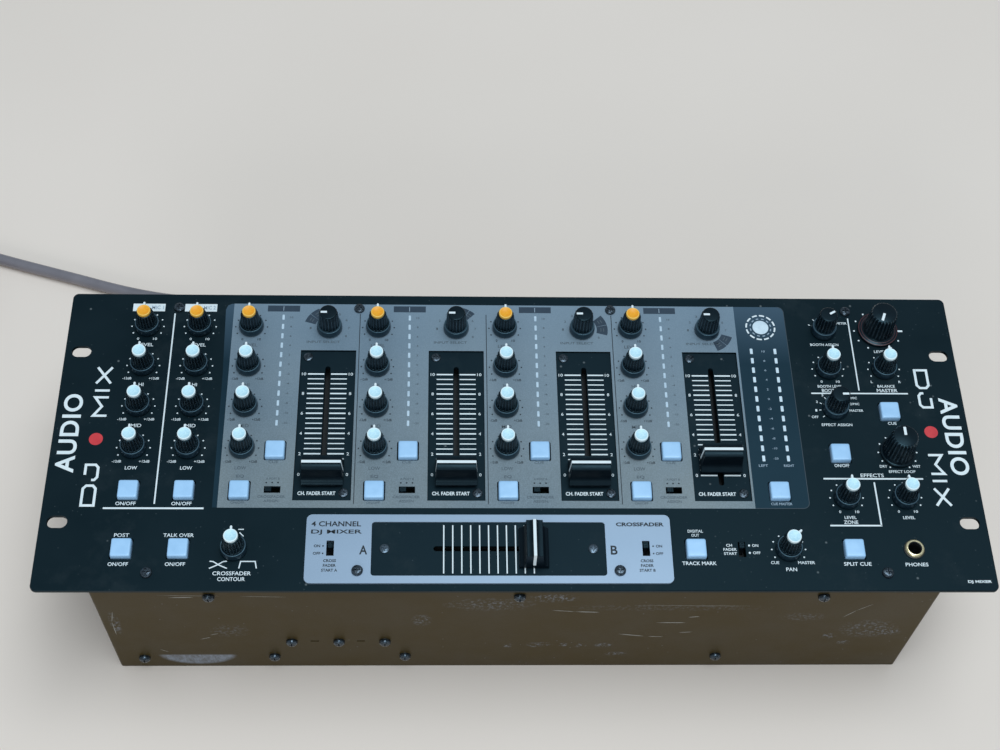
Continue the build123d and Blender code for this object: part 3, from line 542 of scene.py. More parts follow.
def rounded(x0, x1, y0, y1, radius, steps):
    """A rounded rectangle's outline, counter-clockwise."""
    corners = ((x1 - radius, y1 - radius, 0), (x0 + radius, y1 - radius, 90),
               (x0 + radius, y0 + radius, 180), (x1 - radius, y0 + radius, 270))
    outline = []
    for cx, cy, start in corners:
        outline += arc(cx, cy, radius, start, start + 90, steps)
    return outline


def box_outline(x0, x1, y0, y1):
    return [(x0, y0), (x1, y0), (x1, y1), (x0, y1)]


def circle(x, y, radius, steps):
    return arc(x, y, radius, 0, 360, steps)[:-1]


def square(x, y, half, radius=0.0, steps=4):
    """A square's outline about (x, y), with round corners if it has a radius."""
    if radius:
        return rounded(x - half, x + half, y - half, y + half, radius, steps)
    return box_outline(x - half, x + half, y - half, y + half)


def at(x, y, z=0.0, turn=0.0):
    """A place in millimetres, for building: shifted, then turned about Z by degrees counter-clockwise."""
    return Matrix.Translation((x, y, z)) @ Matrix.Rotation(math.radians(turn), 4, "Z")


def rearward(x, z):
    """A place on the rear wall whose +Z is the object's +Y."""
    return Matrix.Translation((x, REAR_WALL, z)) @ Matrix.Rotation(math.radians(-90), 4, "X")


def on_panel(name, turn=0.0):
    """The place on the panel under the middle of a CAD piece, turned clockwise by degrees."""
    low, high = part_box(name)
    place = Matrix.Translation(((low.x + high.x) / 2, (low.y + high.y) / 2, PANEL_TOP * MM))
    return place @ Matrix.Rotation(math.radians(-turn), 4, "Z")


def evaluated_mesh(curve):
    holder = link(bpy.data.objects.new("holder", curve))
    graph = bpy.context.evaluated_depsgraph_get()
    mesh = bpy.data.meshes.new_from_object(holder.evaluated_get(graph))
    bpy.data.objects.remove(holder)
    return mesh


def filled(shape, outline, holes, low, high, finish=0):
    """An outline filled in except for its holes, raised from low to high."""
    curve = bpy.data.curves.new("outline", "CURVE")
    curve.dimensions = "2D"
    curve.fill_mode = "BOTH"
    curve.extrude = 0.5
    for loop in [outline] + holes:
        spline = curve.splines.new("POLY")
        spline.points.add(len(loop) - 1)
        for target, (x, y) in zip(spline.points, loop):
            target.co = (x, y, 0.0, 1.0)
        spline.use_cyclic_u = True
    mesh = evaluated_mesh(curve)
    points = [(v.co.x, v.co.y, low if v.co.z < 0 else high) for v in mesh.vertices]
    shape.add(points, [tuple(face.vertices) for face in mesh.polygons], finish)


# ------------------------------------------------------------------------------------ printing
DOT_STEP = 30
STROKE_STEP = 0.006  # keeps the crossing strokes of a letter apart in height
PRINTING = (  # each ink and the name of its piece
    ("white", "white_printing"), ("dark", "dark_printing"), ("red", "red_printing"), ("faint", "faint_printing"),
    ("bars", "label_bars"), ("pale", "pale_printing"), ("lens", "meter_windows"), ("lens_bright", "master_windows"),
    ("navy_edge", "navy_outline"),
)
PRINT = {ink: Shape() for ink, _ in PRINTING}
LEVEL = {"panel": PANEL_TOP, "navy": NAVY_TOP, "silver": SILVER_TOP, "plate": PLATE_TOP,
         "inset": INSET_TOP, "surround": SURROUND_TOP, "label_box": PANEL_TOP + PRINT_RISE,
         "bars_top": SILVER_TOP + PRINT_RISE}


@functools.cache
def letters(words, weight, spacing, rounding):
    """Flat letters from the built-in face, as points that span 1 by 1 about the origin."""
    curve = bpy.data.curves.new("letters", "FONT")
    curve.body = words
    curve.offset = weight
    curve.space_character = spacing
    curve.extrude = 0.5
    curve.resolution_u = rounding
    mesh = evaluated_mesh(curve)
    xs = [v.co.x for v in mesh.vertices]
    ys = [v.co.y for v in mesh.vertices]
    wide, tall = max(xs) - min(xs), max(ys) - min(ys)
    points = [((v.co.x - min(xs)) / wide - 0.5, (v.co.y - min(ys)) / tall - 0.5, v.co.z) for v in mesh.vertices]
    return points, [tuple(face.vertices) for face in mesh.polygons]


def clockwise(x, y, radius, angle):
    turn = math.radians(angle)
    return x + radius * math.sin(turn), y + radius * math.cos(turn)


class Ink:
    """Printing in one colour, on one of the levels."""

    def __init__(self, ink, level):
        self.shape = PRINT[ink]
        self.level = LEVEL[level]

    def plate(self, outline, rise=PRINT_RISE, place=None):
        self.shape.prism(outline, self.level - PRINT_SINK, self.level + rise, place=place)

    def label(self, words, x, y, width, height, turn=0.0, weight=0.012, spacing=1.0):
        """Words fitted to width by height, centred on (x, y)."""
        points, faces = letters(words, weight, spacing, 6 if height > 4 else 3)
        low, high = self.level - PRINT_SINK, self.level + PRINT_RISE
        placed = [(px * width, py * height, low if pz < 0 else high) for px, py, pz in points]
        self.shape.add(placed, faces, place=at(x, y, 0, turn))

    def bar(self, x0, y0, x1, y1, width, rise=PRINT_RISE):
        """A straight line from one point to another."""
        length = math.hypot(x1 - x0, y1 - y0)
        nx, ny = -(y1 - y0) / length * width / 2, (x1 - x0) / length * width / 2
        self.plate([(x0 - nx, y0 - ny), (x1 - nx, y1 - ny), (x1 + nx, y1 + ny), (x0 + nx, y0 + ny)], rise)

    def stroke(self, points, width, rise=PRINT_RISE, place=None):
        """A line through several points, mitred at its corners."""
        left, right = [], []
        for k, (x, y) in enumerate(points):
            before, after = points[max(k - 1, 0)], points[min(k + 1, len(points) - 1)]
            first = Vector((x - before[0], y - before[1])) if k else None
            second = Vector((after[0] - x, after[1] - y)) if k < len(points) - 1 else None
            headings = [heading.normalized() for heading in (first, second) if heading is not None]
            along = sum(headings, Vector((0.0, 0.0))).normalized()
            reach = width / 2 / max(0.3, along.dot(headings[0]))
            left.append((x - along.y * reach, y + along.x * reach))
            right.append((x + along.y * reach, y - along.x * reach))
        self.plate(right + left[::-1], rise, place)

    def dot(self, x, y, radius):
        self.plate(circle(x, y, radius, 14))

    def sector(self, x, y, inner, outer, start, end, steps=8):
        """A piece of a ring; angles run clockwise from straight up the panel."""
        start, end = 90 - end, 90 - start
        self.plate(arc(x, y, outer, start, end, steps) + arc(x, y, inner, end, start, steps))

    def dial(self, x, y, radius=8.6, size=0.42, words=None, spread=120, skip=()):
        """Dots round a knob, and a word at each end of its travel as (text, x offset, width) rows."""
        for angle in range(-spread, spread + 1, DOT_STEP):
            if angle not in skip:
                self.dot(*clockwise(x, y, radius, angle), size)
        for text, offset, width in words or ():
            self.label(text, x + offset, y - 8.0, width, 1.45)


white = Ink("white", "panel")
white_on_plate = Ink("white", "plate")
white_on_inset = Ink("white", "inset")
white_on_navy = Ink("white", "navy")
dark = Ink("dark", "silver")
dark_on_surround = Ink("dark", "surround")
faint = Ink("faint", "silver")
faint_on_bars = Ink("faint", "bars_top")
bars = Ink("bars", "silver")
pale_on_box = Ink("pale", "label_box")
pale_on_bars = Ink("pale", "bars_top")
pale = Ink("pale", "navy")
lens = Ink("lens", "silver")
bright = Ink("lens_bright", "navy")
red = Ink("red", "panel")
edging = Ink("navy_edge", "panel")

METER_SCALE = ("10", "8", "6", "4", "2", "0", "-2", "-4", "-6", "-8", "-10", "-20")
MIC_ENDS = (("0", -4.5, 1.1), ("10", 4.6, 2.1))
MIC_DECIBELS = (("-12dB", -7.8, 4.7), ("+12dB", 6.4, 5.4))
CHANNEL_ENDS = (("0", -4.5, 0.9), ("10", 4.6, 1.8))
CHANNEL_DECIBELS = (("-12dB", -6.9, 3.9), ("+12dB", 6.2, 4.3))
ZERO_TEN = (("0", -4.4, 1.1), ("10", 4.5, 2.1))


def print_microphones():
    for column, x in enumerate(MIC_X):
        white.plate(box_outline(x - 9.2, x + 8.2, 77.1, 82.0))
        pale_on_box.label(f"MIC {column + 1}", x + 4.2, 79.6, 6.4, 2.4)
        for row, word in zip(ROWS, ("LEVEL", "HI", "MID", "LOW")):
            ends = MIC_ENDS if word == "LEVEL" else MIC_DECIBELS
            white.dial(x, row, words=ends)
            white.label(word, x, row - 11.8, {"LEVEL": 8.0, "HI": 2.6, "MID": 5.4, "LOW": 6.2}[word], 2.0)
        white.label("ON/OFF", x - 0.6, -40.4, 10.2, 2.0)
        white.label("ON/OFF", x - 0.8, -74.1, 10.0, 2.0)
    white.label("POST", -199.4, -58.2, 7.5, 2.0)
    white.label("TALK OVER", -171.0, -58.2, 15.2, 2.0)
    white.bar(-184.9, 75.7, -184.9, -40.6, 0.75)
    white.bar(-210.5, -43.1, -159.8, -43.1, 0.95)


def print_channel(index):
    meter = METERS[index]
    eq = meter + EQ_OFFSET
    select = meter + SELECTOR_OFFSET
    for k in range(12):
        y = 73.6 - METER_STEP * k
        lens.plate(rounded(meter - 0.62, meter + 0.62, y - 1.65, y + 1.65, 0.3, 2), 0.1)
        faint.label(METER_SCALE[k], meter + 4.4, y, 0.75 * len(METER_SCALE[k]) + 0.2, 1.15)
    bars.plate(box_outline(meter - 8.9, meter + 8.7, 77.4, 81.3))
    pale_on_bars.bar(meter - 0.2, 77.9, meter - 0.2, 80.8, 0.32)
    for row, word in zip(ROWS, ("LEVEL", "HI", "MID", "LOW")):
        ends = CHANNEL_ENDS if word == "LEVEL" else CHANNEL_DECIBELS
        dark.dial(eq, row, words=ends)
        faint.label(word, eq, row - 11.7, {"LEVEL": 7.6, "HI": 2.5, "MID": 5.2, "LOW": 6.0}[word], 1.9)
    for words, x, y, width, height in (
        ("EQ", eq + 0.2, -24.7, 4.0, 1.9), ("ON/OFF", eq - 0.2, -39.8, 7.0, 1.4), ("CUE", meter - 0.4, -16.2, 4.9, 1.5),
        ("A POST B", meter, -26.0, 7.0, 1.2), ("CROSSFADER", meter - 0.3, -36.4, 14.0, 1.5),
        ("ASSIGN", meter - 0.3, -38.8, 7.6, 1.5), ("INPUT SELECT", select - 3.1, 57.8, 18.0, 1.5),
    ):
        faint.label(words, x, y, width, height)
    for k in (-1, 0, 1):
        dark.dot(meter - 0.2 + 3.0 * k, -28.3, 0.45)
    start, end = ((-73, -26), (16, 46), (49, 105), (108, 160))[index]
    for number, angle in enumerate(range(-90, 121, 30), 1):
        if not start - 12 < angle < end + 12:
            faint.label(str(number), *clockwise(select, SELECTOR_Y, 10.4, angle), 1.0, 1.4)
    middle = (start + end) / 2
    bars.sector(select, SELECTOR_Y, 8.2, 14.2, start, middle - 0.6)
    bars.sector(select, SELECTOR_Y, 8.2, 14.2, middle + 0.6, end)
    for angle in ((start + middle) / 2, (middle + end) / 2):
        faint_on_bars.sector(select, SELECTOR_Y, 10.3, 10.7, angle - 6, angle + 6, 3)
        faint_on_bars.sector(select, SELECTOR_Y, 11.8, 12.2, angle - 5, angle + 5, 3)


def print_fader_plates():
    for meter in METERS:
        x = meter + FADER_OFFSET
        for k in range(21):
            y = 37.9 - 3.045 * k
            width = 0.8 if k % 4 == 0 else 0.6
            white_on_plate.bar(x - 10.5, y, x - 1.8, y, width)
            white_on_plate.bar(x + 1.8, y, x + 10.4, y, width)
            if k % 4 == 0:
                word = str(10 - k // 2)
                for side in (-12.6, 12.4):
                    white_on_plate.label(word, x + side, y, 2.3 if k == 0 else 1.2, 1.75, weight=0.008)
        white_on_plate.label("CH. FADER START", x - 2.8, -33.9, 19.4, 2.1, weight=0.025)


def print_meters():
    """The master meters, on the dark blue ground."""
    for x in NAVY_METERS:
        for k in range(12):
            y = 53.2 - METER_STEP * k
            bright.plate(rounded(x - 0.75, x + 0.75, y - 1.7, y + 1.7, 0.3, 2), 0.1)
    for k, word in enumerate(METER_SCALE):
        pale.label(word, 136.1, 53.2 - METER_STEP * k, 0.8 * len(word) + 0.2, 1.2, weight=0.0)
    pale.label("LEFT", 129.0, -17.6, 4.8, 1.4)
    pale.label("RIGHT", 142.5, -17.6, 5.4, 1.4)
    pale.label("CUE MASTER", 136.2, -40.0, 11.0, 1.5)
    bright.plate(circle(136.2, 68.8, 4.4, 40), 0.12)
    for k in range(12):
        white_on_navy.sector(136.2, 68.8, 7.4, 8.3, 30 * k, 30 * k + 21, 4)
        pale.sector(136.2, 68.8, 5.4, 6.0, 30 * k + 9, 30 * k + 24, 3)


def print_right():
    booth, master = RIGHT_X
    for x, y, words in (
        (booth, ROWS[1], ZERO_TEN), (master, ROWS[1], (("L", -7.6, 1.1), ("R", 7.6, 1.3))), (booth, -36.4, ZERO_TEN),
        (master, -36.2, ZERO_TEN), (136.9, BOTTOM_ROW, ()),
    ):
        white.dial(x, y, words=words)
    white.dial(master - 0.2, 67.0, radius=12.7, size=0.5, spread=150, skip=(90,))
    white.bar(master + 11.4, 67.0, master + 14.0, 67.0, 1.1)
    white.dial(master, -9.5, radius=10.2, size=0.45, spread=150)
    for words, x, y, width, height in (
        ("BOOTH LEVEL", 170.2, 31.1, 13.4, 1.7), ("BOOTH", 169.8, 28.5, 8.6, 2.1),
        ("BALANCE", 200.8, 31.3, 9.4, 1.7), ("MASTER", 201.0, 28.6, 11.3, 2.1),
        ("BOOTH ASSIGN", 170.4, 57.8, 15.6, 1.6), ("METER", 181.6, 71.9, 5.8, 1.4), ("LEVEL", 200.6, 53.5, 6.6, 1.7),
        ("EFFECT ASSIGN", 171.0, 7.2, 16.4, 1.6), ("CUE", 200.8, 8.2, 4.6, 1.7), ("ON/OFF", 170.4, -17.4, 7.8, 1.9),
        ("EFFECTS", 185.6, -23.2, 12.2, 2.1), ("EFFECT LOOP", 201.8, -20.9, 14.0, 1.6),
        ("DRY", 192.4, -17.8, 4.0, 1.5), ("WET", 209.8, -17.8, 4.2, 1.5),
        ("LEVEL", 171.0, -47.7, 6.2, 1.7), ("ZONE", 170.9, -50.4, 7.4, 2.0), ("LEVEL", 201.4, -47.7, 6.2, 1.7),
        ("MIC", 182.2, 23.8, 3.4, 1.4), ("2/MIC", 182.2, 20.1, 5.0, 1.4), ("MASTER", 182.6, 16.0, 7.4, 1.4),
        ("OFF", 159.8, 12.0, 3.6, 1.5), ("PHONES", 201.4, -74.1, 11.6, 2.0), ("SPLIT CUE", 171.2, -73.8, 14.0, 2.0),
        ("PAN", 137.2, -76.8, 5.5, 2.0), ("CUE", 129.2, -73.1, 4.2, 1.6), ("MASTER", 145.2, -73.1, 8.6, 1.6),
        ("TRACK MARK", 90.8, -73.5, 17.4, 2.0), ("DIGITAL", 90.1, -55.6, 7.8, 1.6), ("OUT", 89.9, -57.9, 4.0, 1.6),
        ("ON", 120.0, -63.6, 3.2, 1.5), ("OFF", 120.4, -67.7, 3.8, 1.5),
        ("CH", 106.7, -63.5, 3.0, 1.5), ("FADER", 107.0, -65.8, 6.8, 1.5), ("START", 107.0, -68.1, 6.6, 1.5),
        ("CROSSFADER", -143.0, -79.1, 19.0, 2.1), ("CONTOUR", -143.1, -82.2, 13.6, 2.1),
    ):
        white.label(words, x, y, width, height)
    for y in (-63.6, -67.7):
        white.dot(116.9, y, 0.55)
    for x, selector_y, count in ((BOOTH_ASSIGN_X, ROWS[0], 3), (EFFECT_ASSIGN_X, ROWS[2], 5)):
        for k in range(count):
            angle = -5 - 30 * k
            white.bar(*clockwise(x, selector_y, 7.6, angle), *clockwise(x, selector_y, 8.8, angle), 0.45)
            if count == 5 and k < 4:
                white.label(str(4 - k), *clockwise(x, selector_y, 10.4, angle), 1.0, 1.4)
    for x0, y0, x1, y1, width in (
        (159.5, 26.7, 212.0, 26.7, 0.8), (185.5, 75.2, 185.7, 28.6, 0.7), (159.7, -25.2, 212.2, -25.2, 0.9),
        (186.1, -27.3, 186.4, -52.3, 0.8), (159.9, -52.3, 186.8, -52.3, 0.85),
    ):
        white.bar(x0, y0, x1, y1, width)


def print_contour():
    """The two curves beside the crossfader's contour knob: a slow cross and a sharp cut."""
    white.stroke([(-154.4, -76.4), (-150.6, -74.6), (-147.6, -72.7), (-145.8, -72.5)], 0.6)
    white.stroke([(-154.4, -72.5), (-152.6, -72.7), (-149.6, -74.6), (-145.6, -76.4)], 0.6, 0.056)
    white.stroke([(-139.7, -76.4), (-139.0, -72.6), (-131.8, -72.6), (-131.0, -76.4)], 0.6)
    white.bar(-141.4, -54.9, -138.6, -54.9, 0.55)
    white.bar(-140.7, -56.6, -138.5, -58.8, 0.55)


def print_crossfader():
    for k in range(11):
        white_on_inset.bar(-37.9 + 4.53 * k, -52.7, -37.9 + 4.53 * k, -79.4, 0.62)
    dark_on_surround.label("A", -78.2, -66.8, 4.0, 5.0, weight=0.02)
    dark_on_surround.label("B", 47.9, -66.8, 3.4, 5.0, weight=0.02)
    dark_on_surround.label("4 CHANNEL", -92.2, -52.3, 25.0, 2.9, weight=0.02)
    dark_on_surround.label("DJ MIXER", -91.9, -57.0, 25.6, 2.9, weight=0.02)
    dark_on_surround.label("CROSSFADER", 61.8, -52.4, 24.4, 2.2, weight=0.035)
    for x, side, word in ((-94.8, -1, "A"), (64.2, 1, "B")):
        for y, state in ((-64.6, "ON"), (-68.7, "OFF")):
            dark_on_surround.dot(x + side * 3.6, y, 0.42)
            dark_on_surround.label(state, x + side * 6.6, y, 3.2 if state == "ON" else 3.8, 1.5, weight=0.025)
        for row, text in enumerate(("CROSS", "FADER", "START " + word)):
            dark_on_surround.label(text, x, -72.7 - 2.6 * row, (6.4, 6.4, 8.0)[row], 1.6, weight=0.025)


WIDE_LETTERS = {  # lines through points, and how far the next letter starts
    "D": ([[(-0.7, -3.2), (9.6, -3.2), (11.3, -1.7), (11.3, 1.7), (9.6, 3.2), (0, 3.2), (0, -2.6)]], 14.6),
    "J": ([[(0, -0.4), (0, -1.9), (1.6, -3.2), (7.2, -3.2), (8.8, -1.8), (8.8, 3.2), (3.0, 3.2)]], 9.5),
    "M": ([[(0, -3.85), (0, 3.2), (5.6, -0.8), (11.2, 3.2), (11.2, -3.85)]], 15.4),
    "I": ([[(0, -3.85), (0, 3.85)]], 4.4),
    "X": ([[(0, -3.85), (10.0, 3.85)], [(0, 3.85), (10.0, -3.85)]], 10.0),
}


def print_ears():
    """Plain words up each rack ear: a wide pair with a red dot between, and a heavier one outside it."""
    for side in (-1, 1):
        turn = -90 * side
        inner, outer = 218.65 if side < 0 else 220.9, 232.85
        for words, start in (("DJ", -41.6), ("MIX", 11.0)):
            for letter in words:
                strokes, advance = WIDE_LETTERS[letter]
                for number, points in enumerate(strokes):
                    place = at(side * inner, -side * start, 0, turn)
                    white.stroke(points, 1.35, PRINT_RISE + STROKE_STEP * number, place)
                start += advance
        red.plate(circle(side * inner, side * 3.0, 3.6, 40))
        white.label("AUDIO", side * outer, 0.6, 47.0, 9.9, turn, 0.02, 1.1)
    white.label("DJ MIXER", 232.0, -83.7, 12.2, 1.9, weight=0.03)


def grounds():
    """The painted grounds under the printing: silver over the channels, dark blue beside them."""
    navy, silver = Shape(), Shape()
    front, rear = GROUND_Y
    edge = SILVER_X[1]
    holes = [circle(meter + EQ_OFFSET, row, SHAFT_HOLE, 20) for meter in METERS for row in ROWS]
    holes += [circle(meter + SELECTOR_OFFSET, SELECTOR_Y, SHAFT_HOLE, 20) for meter in METERS]
    wide, deep = FADER_PLATE_HALF
    for meter in METERS:
        x = meter + FADER_OFFSET
        holes.append(box_outline(x - wide, x + wide, FADER_PLATE_Y - deep, FADER_PLATE_Y + deep))
        holes.append(box_outline(meter - 4.2, meter + 4.2, -34.2, -30.4))
        holes.append(square(meter + CHANNEL_ON_OFFSET, CHANNEL_ON_Y, BUTTON_HOLE, 1.0))
        holes.append(square(meter + CUE_OFFSET, BUTTON_ROW, BUTTON_HOLE, 1.0))
    filled(silver, box_outline(*SILVER_X, front - 0.1, rear), holes, PANEL_TOP - PRINT_SINK, SILVER_TOP)
    silver.piece("silver_ground", ["silver"], slot="panel_paint")
    left = [(-155.6, front), (-156.2, 37.0), (-157.5, 78.4), (-156.5, 81.2), (-154.5, 82.2), (SILVER_X[0], rear),
            (SILVER_X[0], front)]
    navy.prism(left, PANEL_TOP - PRINT_SINK, NAVY_TOP)
    radius = 3.4
    right = [(edge, front)] + arc(150.6 - radius, front + radius, radius, -90, 0, 6)
    right += arc(150.0 - radius, rear - radius, radius, 0, 90, 6) + [(edge, rear)]
    filled(navy, right, [square(MASTER_CUE_X, BUTTON_ROW, BUTTON_HOLE, 1.0)], PANEL_TOP - PRINT_SINK, NAVY_TOP)
    navy.piece("navy_ground", ["navy"], slot="panel_paint")
    for start, end in zip(right, right[1:-1]):
        if math.dist(start, end) > 0.01:
            edging.bar(*start, *end, 0.35, rise=0.09)


def print_all():
    print_microphones()
    for index in range(4):
        print_channel(index)
        if index < 3:
            dark.bar(METERS[index] + 41.8, 76.0, METERS[index] + 41.8, -40.5, 0.4)
    print_fader_plates()
    print_meters()
    print_right()
    print_contour()
    print_crossfader()
    print_ears()
    grounds()
    for ink, name in PRINTING:
        PRINT[ink].piece(name, [ink], slot="panel_paint", smooth=20)


print_all()


# --------------------------------------------------------------------------------------- knobs
POINTER = {  # degrees clockwise from straight up the panel; the other knobs point straight up
    "input_selector_1": -90, "input_selector_2": -90, "input_selector_3": -90, "input_selector_4": -90,
    "booth_assign_selector": 60, "effect_assign_selector": 90, "master_level_knob": -159,
    "phones_pan_knob": 50, "phones_level_knob": -15,
}
# The finishes of a knob's shape, by number; CAP is the coloured top of a small knob, or the pointer of a plain one.
SIDES, CAP, SHAFT, RIM_HIGHLIGHT_AND_RING, TAB, LIT_SKIRT, TOP, SHOULDER_HIGHLIGHT, CREST_GLINT = range(9)
SKIRT_INSIDE = 5.6


def knob_skirt(radius):
    """The flared ring round a knob's foot, with a narrow shoulder at its top."""
    return [
        (0, 0.6), (radius - 0.25, 0.6), (radius - 0.05, 0.7), (radius, 0.95), (radius, 1.6), (radius - 0.07, 2.4),
        (radius - 0.18, 3.4), (radius - 0.3, 4.15), (radius - 0.38, 4.45), (radius - 0.52, 4.65), (radius - 0.7, 4.7),
        (radius - 0.95, 4.62),
    ]


SMALL_BODY = knob_skirt(6.75) + [
    (5.12, 4.38), (5.0, 4.45, 0.3), (4.95, 4.9, 1), (4.85, 6.5, 1), (4.65, 9.5, 1), (4.45, 12.4, 1), (4.38, 13.2, 0.8),
    (4.25, 13.75, 0.2), (4.1, 14.02), (3.85, 14.18), (3.7, 14.2), (0, 14.2),
]
SMALL_CAP = [
    (0, 14.1), (3.5, 14.1), (3.6, 14.3), (3.6, 15.6), (3.52, 15.85), (3.35, 15.98), (3.15, 16.0), (3.0, 15.92),
    (2.9, 15.84), (0, 15.84),
]
SELECTOR_BODY = knob_skirt(6.9) + [
    (5.4, 4.38), (5.38, 4.5, 0.3), (5.35, 4.9, 1), (5.25, 7.5, 1), (5.05, 11.0, 1), (4.9, 14.0, 1), (4.85, 14.8, 0.8),
    (4.75, 15.4, 0.3), (4.6, 15.75), (4.35, 15.95), (4.0, 16.0), (0, 16.0),
]


def big_body(skirt, base, top):
    return [
        (0, 0.6), (skirt - 0.3, 0.6), (skirt, 0.8), (skirt, 1.25), (skirt - 0.2, 1.55), (skirt - 0.8, 1.75),
        (base + 0.35, 2.35), (base + 0.05, 2.8), (base - 0.15, 3.5, 0.2), (base - 0.35, 4.6, 1), (base - 0.65, 8.5, 1),
        (top + 0.65, 13.0, 1), (top + 0.38, 16.2, 1), (top + 0.25, 16.9, 0.9), (top + 0.05, 17.4, 0.6),
        (top - 0.25, 17.8, 0.2), (top - 0.7, 18.0), (0, 18.0),
    ]


def tab_outline(half, inner, outer, steps=6):
    """A pointer's outline, square at its foot and round at its tip."""
    return [(-half, inner), (half, inner)] + arc(0, outer - half, half, 0, 180, steps)


def knob_shape(kind):
    shape = Shape()
    shape.turned([(0, -8.0), (2.7, -8.0), (3.0, -7.7), (3.0, 1.0), (0, 1.0)], 24, SHAFT)
    if kind == "small":
        shape.turned(SMALL_BODY, 144, SIDES, ribs=18, rib_rise=0.6, crest_glint_finish=CREST_GLINT)
        start = len(shape.faces)
        shape.turned(SMALL_CAP, 48, CAP)
        # Painted highlight on the cap's rim.
        shape.refinished(RIM_HIGHLIGHT_AND_RING, start, lambda radius, height: radius > 2.95)
        shape.prism(tab_outline(0.55, 3.2, 5.4), 14.22, 15.7, TAB)
    elif kind == "selector":
        shape.turned(SELECTOR_BODY, 144, SIDES, ribs=18, rib_rise=0.6, crest_glint_finish=CREST_GLINT)
        shape.refinished(TOP, 0, lambda radius, height: height > 15.97)
        shape.prism(rounded(-0.6, 0.6, 0.6, 4.0, 0.15, 2), 15.9, 16.05, CAP)
    else:
        skirt, base, top = (11.0, 8.2, 6.7) if kind == "master" else (9.3, 8.0, 6.5)
        shape.turned(big_body(skirt, base, top), 192, SIDES, ribs=24, rib_rise=0.4, crest_glint_finish=CREST_GLINT)
        shape.refinished(TOP, 0, lambda radius, height: height > 17.97)
        shape.prism(rounded(-0.7, 0.7, 0.5, top - 1.2, 0.2, 2), 17.9, 18.05, CAP)
        if kind == "master":
            for radius, height in ((skirt - 0.45, 1.66), (skirt - 1.75, 2.02)):
                ring = [(radius - 0.22, height), (radius + 0.22, height - 0.12), (radius + 0.22, height + 0.02),
                        (radius - 0.2, height + 0.14), (radius - 0.22, height)]
                shape.turned(ring, 96, RIM_HIGHLIGHT_AND_RING)
    if kind in ("small", "selector"):
        # Painted light: the skirt takes a lighter copy of the knob's plastic.
        shape.refinished(LIT_SKIRT, 0, lambda radius, height: 0.6 < height < 4.4 and radius > SKIRT_INSIDE)
        # Painted highlight on the skirt's shoulder.
        shape.refinished(SHOULDER_HIGHLIGHT, 0, lambda radius, height: 4.4 < height < 4.75 and radius > SKIRT_INSIDE)
    return shape


def knob_kind(name):
    """A knob's shape, and the finish of its cap or pointer."""
    if name.endswith("_level_knob") and name.split("_")[0] in ("mic", "channel"):
        return "small", "cap_orange"
    if name == "master_level_knob":
        return "master", "white"
    if name == "effect_mix_knob":
        return "mix", "white"
    return ("selector", "white") if "selector" in name else ("small", "cap_white")


def make_knobs():
    shapes = {}
    for name in sorted(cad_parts):
        if not (name.endswith("_knob") or "selector" in name):
            continue
        kind, cap = knob_kind(name)
        if kind not in shapes:
            shapes[kind] = knob_shape(kind)
        # The rim finish is a painted highlight on the small caps, and the printed red ring on the big knobs.
        rim = {"cap_white": "lit_rim_white", "cap_orange": "lit_rim_orange"}.get(cap, "ring_red")
        finishes = ["knob", cap, "steel", rim, "white", "skirt", "fader", "shoulder", "crest"]
        shapes[kind].piece(f"{name}_detail", finishes, name, "knob_black", 50, replaces=[name],
                           place=on_panel(name, POINTER.get(name, 0)))


make_knobs()


# -------------------------------------------------------------------------------------- faders
CAP_PROFILE = [
    (7.5, 0.0), (7.5, 0.8), (7.3, 1.15), (6.4, 1.75), (5.6, 2.5), (5.05, 3.5), (4.75, 4.6), (4.55, 6.5), (4.35, 9.0),
    (4.2, 10.9), (4.1, 11.35), (3.85, 11.52), (3.0, 11.5), (2.0, 11.6), (1.3, 11.85), (0.95, 12.15), (0.85, 12.5),
]
CAP_LIFT = 1.5


def cap_half_width(height):
    return 10.9 - 0.9 * height / 12.5


def fader_shape():
    """The cap, its inlaid line along the ridge and down both ends, and its stem."""
    shape = Shape()
    section = CAP_PROFILE + [(-y, z) for y, z in reversed(CAP_PROFILE)]
    loops = []
    for share in (-1.0, -0.96, -0.5, 0.0, 0.5, 0.96, 1.0):
        loops.append([(share * cap_half_width(z), y, z + CAP_LIFT) for y, z in section])
    shape.stack(loops, 0)
    half, proud = 0.8, 0.06
    path = [(-cap_half_width(2.4) - proud, 2.4), (-cap_half_width(12.5) - proud, 12.5 + proud)]
    path += [(-x, z) for x, z in reversed(path)]
    inner = [(-cap_half_width(2.4) + 0.4, 2.4), (-cap_half_width(12.5) + 0.5, 12.0)]
    inner += [(-x, z) for x, z in reversed(inner)]
    loops = []
    for side in (-half, half):
        loops.append([(x, side, z + CAP_LIFT) for x, z in path + list(reversed(inner))])
    shape.stack(loops, 1)
    shape.prism(rounded(-0.6, 0.6, -2.0, 2.0, 0.2, 2), -8.4, CAP_LIFT + 1.0, 2)
    return shape


def make_faders():
    shape = fader_shape()
    for name in ("channel_1_fader", "channel_2_fader", "channel_3_fader", "channel_4_fader", "crossfader"):
        place = on_panel(name, -90 if name == "crossfader" else 0)
        shape.piece(f"{name}_cap", ["fader", "white", "steel"], name, "knob_black", 30, 0.2, 2, [name], place)


make_faders()


# ------------------------------------------------------------------------- buttons and switches
BUTTON_HALF = 5.1
BUTTON_ROWS = (  # inset from the side, height, corner radius
    (0.0, 104.5, 0.8), (0.0, 109.0, 0.8), (0.12, 110.9, 0.85), (0.28, 111.35, 0.9), (0.6, 111.62, 1.0),
    (1.1, 111.7, 1.1), (3.0, 111.62, 1.4),
)


